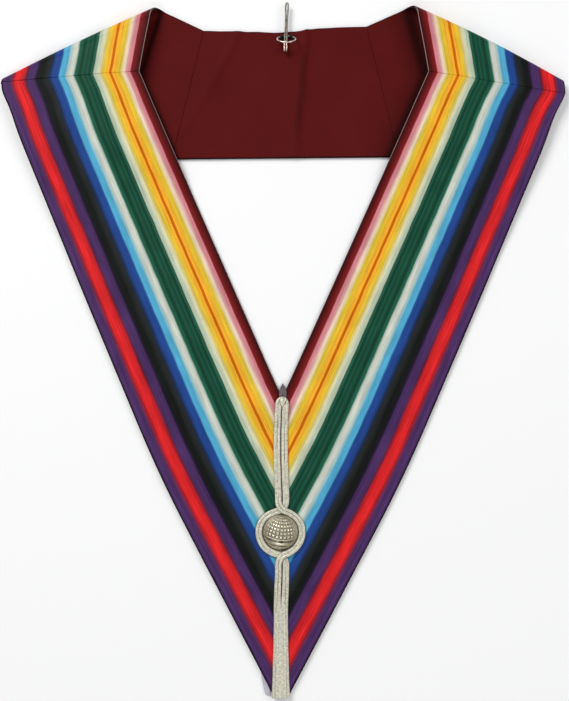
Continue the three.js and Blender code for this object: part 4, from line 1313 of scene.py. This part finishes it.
class CollarButton(CollarStep):
    """Builds the domed button with its rim and globe lattice"""

    bl_idname = "collar.button"
    bl_label = "Button"

    def lattice(self, x, y):
        """Relief of the globe at places from -1 to 1: how high, and how light it is painted, with tarnish in
        the grooves, painted dark reflection bands on the lower half and a painted mid tone toward the edge.
        """
        sz = np.sqrt(np.maximum(0.0, 1 - x**2 - y**2))
        tilt = math.radians(25)
        pole = y * math.cos(tilt) + sz * math.sin(tilt)
        front = -y * math.sin(tilt) + sz * math.cos(tilt)
        latitude = np.degrees(np.arcsin(np.clip(pole, -1, 1)))
        longitude = np.degrees(np.arctan2(x, front))
        cell = 12.0
        rise = np.abs(((latitude - 1.0) / cell) % 1 - 0.5) * 2
        run = np.abs(((longitude + 3) / (cell * 1.08)) % 1 - 0.5) * 2
        shrink = smooth((np.cos(np.radians(latitude)) - 0.18) * 2.5)
        groove = np.maximum(smooth((rise - 0.35) / 0.6), smooth((run - 0.35) / 0.6) * shrink)
        south = smooth((-latitude - 0.5) / 1.5)
        # Painted reflection: dark bands across the lower half, broken along their length and lighter in the
        # middle
        reflection_bands = smooth(1.3 - np.abs(latitude + 8.5) / 5.5) * (0.80 + 0.20 * np.cos(np.radians(longitude * 7)))
        reflection_bands = np.maximum(reflection_bands, 0.92 * smooth(1.3 - np.abs(latitude + 27) / 4.5))
        reflection_bands = reflection_bands * (1 - 0.45 * np.exp(-(((longitude + 6) / 9) ** 2)))
        level = mix(0.50 * (1 - groove), 0.36 * (1 - reflection_bands), south)
        light = mix(1 - 0.60 * groove, mix(0.95, 0.0, reflection_bands), south)
        below = smooth((-latitude - 32) / 4)
        light = mix(light, 0.66, below)
        # Toward the dome's edge the light is evened to a painted mid tone
        rim = smooth((np.hypot(x, (y + 0.03) * 0.96) - 0.66) / 0.20)
        faded = rim * (1 - 0.2 * reflection_bands * south * (1 - below))
        return level * (1 - 0.85 * rim), mix(light, 0.66 + 0.10 * light, faded)

    def build(self, drawing):
        trim = drawing.trim
        radius = trim.button_radius
        dome = radius * 0.955
        rise = trim.button_height - trim.rim_height
        sphere = (dome**2 + rise**2) / (2 * rise)
        centre = trim.button_height - sphere
        sides = 240
        r = np.concatenate([
            np.linspace(0, dome, 150), np.linspace(dome, radius, 12)[1:], [radius, radius]])[1:]
        a = math.tau * np.arange(sides) / sides
        rr, aa = np.meshgrid(r, a, indexing="ij")
        x, y = rr * np.cos(aa), rr * np.sin(aa)
        on_dome = rr <= dome + 1e-9
        level, light = self.lattice(x / dome * 0.985, y / dome * 0.985)
        inside = smooth((dome - rr) / (0.55 * MM))
        z = centre + np.sqrt(np.maximum(0, sphere**2 - rr**2)) + level * MM * inside
        t = np.clip((rr - dome) / (radius - dome), 0, 1)
        bead = trim.rim_height * (0.72 + 0.28 * np.sin(np.pi * t) - 0.25 * t)
        z = np.where(on_dome, z, bead)
        light = np.where(on_dome, light * (0.1 + 0.9 * inside), 0.42)
        z[-1] = 0.0
        turn = math.radians(-7)
        px = x * math.cos(turn) - y * math.sin(turn) + trim.button_aside
        py = x * math.sin(turn) + y * math.cos(turn) - trim.button_below
        z0 = drawing.trim_foot
        grid = np.stack([px, py, z + z0], axis=-1).reshape(-1, 3)
        top = [trim.button_aside, -trim.button_below, float(z[0].mean()) + z0]
        points = np.vstack([grid, top])
        faces = grid_faces(len(r), sides, 0, True, True)
        last = len(points) - 1
        faces += [(last, i, (i + 1) % sides) for i in range(sides)]
        faces.append(tuple((len(r) - 1) * sides + i for i in range(sides))[::-1])
        lay = np.column_stack([np.append(light.ravel(), light[0].mean()), np.zeros(last + 1)])
        piece = place_mesh("globe_button", points, faces, lay, drawing.shift)
        dress(drawing, piece, "antique_silver")
        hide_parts("button")


class CollarTab(CollarStep):
    """Builds the pointed tab behind the top of the braid"""

    bl_idname = "collar.tab"
    bl_label = "Pointed tab"

    def build(self, drawing):
        trim = drawing.trim
        w, rise = trim.tab_width, trim.tab_rise
        outline = [
            (-0.5 * w, -trim.tab_drop), (0.5 * w, -trim.tab_drop), (0.5 * w, rise - w * 1.1),
            (0.32 * w, rise - w * 0.5), (0.05 * w, rise - 0.02 * w), (-0.05 * w, rise - 0.02 * w),
            (-0.32 * w, rise - w * 0.5), (-0.5 * w, rise - w * 1.1)]
        line = along_polygon(np.array(outline), 160)
        z0 = drawing.thickness + drawing.sizes.gap * 0.6
        rings = []
        for inset, high in (
                (0.0, 0.1), (0.0, 0.55), (0.12, 0.85), (0.3, 1.0), (0.42, 0.88), (0.6, 0.96), (1.5, 1.02),
                (2.6, 1.06)):
            shape = inset_line(line, inset * MM)
            rings.append(np.column_stack([
                shape[:, 0] + trim.tab_aside, shape[:, 1], np.full(len(shape), z0 + high * trim.tab_wall)]))
        piece = tube_piece("pointed_tab", rings, False, drawing.shift)
        dress(drawing, piece, "tab_tape")
        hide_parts("point_tab")
        self.tape_end(drawing)

    def tape_end(self, drawing):
        """The end of a tape between ribbon and lining, showing at the left of the point."""
        t = np.linspace(0, 1, 24)[:, None]
        across = np.linspace(0, 1, 7)[None, :]
        outer = [mix(a, b, t) * MM for a, b in zip(TAPE_OUTER[0], TAPE_OUTER[1])]
        inner = [mix(a, b, t) * MM for a, b in zip(TAPE_INNER[0], TAPE_INNER[1])]
        x, y = [mix(a, b, across) for a, b in zip(inner, outer)]
        low = (1.02 - 0.03 * across + 0.02 * np.sin(9 * t)) * MM
        top = np.stack([x, y, low + 0.26 * MM], axis=-1)
        bottom = np.stack([x, y, low + 0 * x], axis=-1)
        piece = sheet_piece("tape_end", top, bottom, np.zeros(x.shape + (2,)), drawing.shift, False)
        dress(drawing, piece, "pale_tape")


def along_polygon(corners, count):
    """Evenly spaced points round a polygon, with every corner kept."""
    ring = np.vstack([corners, corners[0]])
    points = []
    size = np.linalg.norm(np.diff(ring, axis=0), axis=1)
    for k, side in enumerate(size):
        n = max(1, round(count * side / size.sum()))
        points += [mix(ring[k], ring[k + 1], i / n) for i in range(n)]
    return np.array(points)


def inset_line(line, inset):
    """A closed outline drawn in by a distance, without folding over at its corners."""
    before, after = np.roll(line, 1, axis=0), np.roll(line, -1, axis=0)
    tangent = after - before
    tangent = tangent / np.linalg.norm(tangent, axis=1)[:, None]
    normal = np.column_stack([-tangent[:, 1], tangent[:, 0]])
    moved = line + normal * inset
    moved[:, 0] = np.sign(line[:, 0]) * np.minimum(np.abs(moved[:, 0]), np.abs(line[:, 0]))
    moved[:, 0] = np.where(np.sign(moved[:, 0]) == np.sign(line[:, 0]), moved[:, 0], 0.0)
    return moved


class CollarFittings(CollarStep):
    """Builds the neck ring, the threads that hold it and the wire hook"""

    bl_idname = "collar.fittings"
    bl_label = "Neck fittings"

    def ring_point(self, drawing, a):
        """Point of the ring's middle line, from its low side."""
        trim = drawing.trim
        tilt = trim.neck_ring_tilt
        width = drawing.sizes.ribbon_width
        centre = np.array([
            trim.fitting_aside,
            drawing.back_top - width * 0.026 - trim.neck_ring_in,
            drawing.cloth_top + trim.neck_ring_wire + trim.neck_ring_mid * math.sin(tilt)])
        return centre + trim.neck_ring_mid * np.stack([
            np.sin(a), np.cos(a) * math.cos(tilt), -np.cos(a) * math.sin(tilt)], axis=-1)

    def build(self, drawing):
        trim = drawing.trim
        a = math.tau * np.arange(RING_POINTS) / RING_POINTS
        rings = wire_rings(self.ring_point(drawing, a), trim.neck_ring_wire, RING_SIDES, True)
        piece = tube_piece("neck_ring_wire", rings, True, drawing.shift)
        # Painted light: the raised front of the ring lighter, the back of it darker
        write_light_and_tone(piece, np.repeat(0.60 - 0.45 * np.cos(a), RING_SIDES))
        dress(drawing, piece, "plated_wire")
        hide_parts("neck_ring")

        centre = self.ring_point(drawing, np.array([0.0, math.pi])).mean(axis=0)
        eye = centre[1] + trim.hook_length * 0.765
        wire = trim.hook_wire

        def bent(share, side, high):
            lean = (0.55 - 1.35 * share) * MM
            return (trim.fitting_aside + lean + side * wire, eye - share * trim.hook_length, high * wire)

        half = [bent(share, side, high) for share, side, high in HOOK]
        back = [bent(share, -side, high) for share, side, high in HOOK[-2:0:-1]]
        line = along_curve(half + back, 361, True)[:-1]
        piece = tube_piece("neck_hook_wire", wire_rings(line, wire, HOOK_SIDES, True), True, drawing.shift)
        down = (eye - line[:, 1]) / trim.hook_length
        # Dull tarnished shank, with a painted glint at the hook's lower bend
        write_light_and_tone(piece, np.repeat(0.05 + 0.95 * smooth((down - 0.78) / 0.15), HOOK_SIDES))
        dress(drawing, piece, "plated_wire")
        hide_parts("neck_hook")

        foot = drawing.cloth_top + 0.65 * MM
        for side in SIDES:
            sign = -1 if side == "left" else 1
            at = self.ring_point(drawing, np.array([sign * trim.thread_apart]))[0]
            reach = trim.neck_ring_wire + 0.55 * trim.thread_wire + 0.1 * MM
            points, faces = [], []
            for turn in range(-2, 3):
                x = at[0] + turn * 0.55 * MM
                far = at[1] + reach * 1.7
                near = at[1] - reach * (1.6 + 0.35 * (turn % 2)) - 0.35 * MM * abs(turn + sign)
                arch = [(x + 0.2 * MM * turn, far, foot - 0.6 * MM)]
                for k in range(9):
                    b = math.pi * k / 8
                    arch.append((x + 0.05 * MM * turn * math.sin(b), at[1] + reach * math.cos(b),
                                 at[2] + reach * math.sin(b)))
                arch.append((x - 0.15 * MM * sign * abs(turn), near, foot - 0.6 * MM))
                rings = wire_rings(along_curve(arch, 48), 0.34 * MM, THREAD_SIDES)
                faces += tube_faces(len(rings), THREAD_SIDES, len(points))
                points += list(np.concatenate(rings))
            piece = place_mesh(f"ring_thread_wraps_{side}", points, faces, None, drawing.shift)
            dress(drawing, piece, "dark_thread")
            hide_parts(f"ring_thread_{side}")


class CollarStage(CollarStep):
    """Sets the floor, the soft lights and the camera"""

    bl_idname = "collar.stage"
    bl_label = "Stage"

    def build(self, drawing):
        scene = bpy.context.scene
        half = 3.0
        floor = place_mesh("stage_floor", [
            (-half, -half, 0), (half, -half, 0), (half, half, 0), (-half, half, 0)], [(0, 1, 2, 3)])
        surface = Surface("stage_floor")
        surface.feed(surface.shader, [
            ("Base Color", opaque(drawing.colours.floor)), ("Roughness", 0.8), ("Specular IOR Level", 0.1)])
        floor.data.materials.append(surface.material)
        for name, place, size, power in (
                ("light_key", (-0.80, 0.90, 1.25), 0.9, 18.0),
                ("light_fill", (1.05, 0.15, 1.1), 1.1, 7.0),
                ("light_front", (-0.15, -1.2, 1.1), 1.1, 7.0)):
            data = bpy.data.lights.new(name, "AREA")
            data.shape = "SQUARE"
            data.size = size
            data.energy = power
            lamp = bpy.data.objects.new(name, data)
            lamp.location = place
            aim = -np.array(place) / np.linalg.norm(place)
            lamp.rotation_mode = "QUATERNION"
            lamp.rotation_quaternion = Vector(aim).to_track_quat("-Z", "Y")
            scene.collection.objects.link(lamp)
        world = bpy.data.worlds.new("stage_world")
        world.use_nodes = True
        background = world.node_tree.nodes["Background"]
        background.inputs[0].default_value = (0.97, 0.98, 1.0, 1.0)
        background.inputs[1].default_value = 0.24
        scene.world = world
        scene.view_settings.view_transform = "Standard"
        distance, tilt = 0.830, math.radians(9.9)
        aim = np.array([1.0, -15.5, 0.0]) * MM
        data = bpy.data.cameras.new("camera")
        data.lens = 59.08
        data.sensor_width = 36.0
        camera = bpy.data.objects.new("camera", data)
        camera.location = aim + distance * np.array([0.0, -math.sin(tilt), math.cos(tilt)])
        camera.rotation_euler = (tilt, 0.0, 0.0)
        scene.collection.objects.link(camera)
        scene.camera = camera


class COLLAR_PT_build(bpy.types.Panel):
    """Lists the steps and the sizes of the collar"""

    bl_idname = "COLLAR_PT_build"
    bl_label = "Striped collar"
    bl_space_type = "VIEW_3D"
    bl_region_type = "UI"
    bl_category = "Collar"

    def draw(self, context):
        layout = self.layout
        for step in STEPS:
            layout.operator(step.bl_idname)
        for group in (context.scene.collar_sizes, context.scene.collar_trim, context.scene.collar_colours):
            box = layout.box()
            for name in group.__annotations__:
                box.prop(group, name)


STEPS = (
    CollarStage, CollarFronts, CollarShoulders, CollarBack, CollarSeams, CollarBraid, CollarButton,
    CollarTab, CollarFittings,
)
CLASSES = (CollarSizes, TrimSizes, CollarColours, *STEPS, COLLAR_PT_build)


def register():
    for kind in CLASSES:
        bpy.utils.register_class(kind)
    bpy.types.Scene.collar_sizes = bpy.props.PointerProperty(type=CollarSizes)
    bpy.types.Scene.collar_trim = bpy.props.PointerProperty(type=TrimSizes)
    bpy.types.Scene.collar_colours = bpy.props.PointerProperty(type=CollarColours)


def unregister():
    for name in ("collar_colours", "collar_trim", "collar_sizes"):
        delattr(bpy.types.Scene, name)
    for kind in reversed(CLASSES):
        bpy.utils.unregister_class(kind)


def main():
    register()
    bpy.ops.collar.stage()
    bpy.ops.collar.fronts()
    bpy.ops.collar.shoulders()
    bpy.ops.collar.back()
    bpy.ops.collar.seams()
    bpy.ops.collar.braid()
    bpy.ops.collar.button()
    bpy.ops.collar.tab()
    bpy.ops.collar.fittings()


if __name__ == "__main__":
    main()
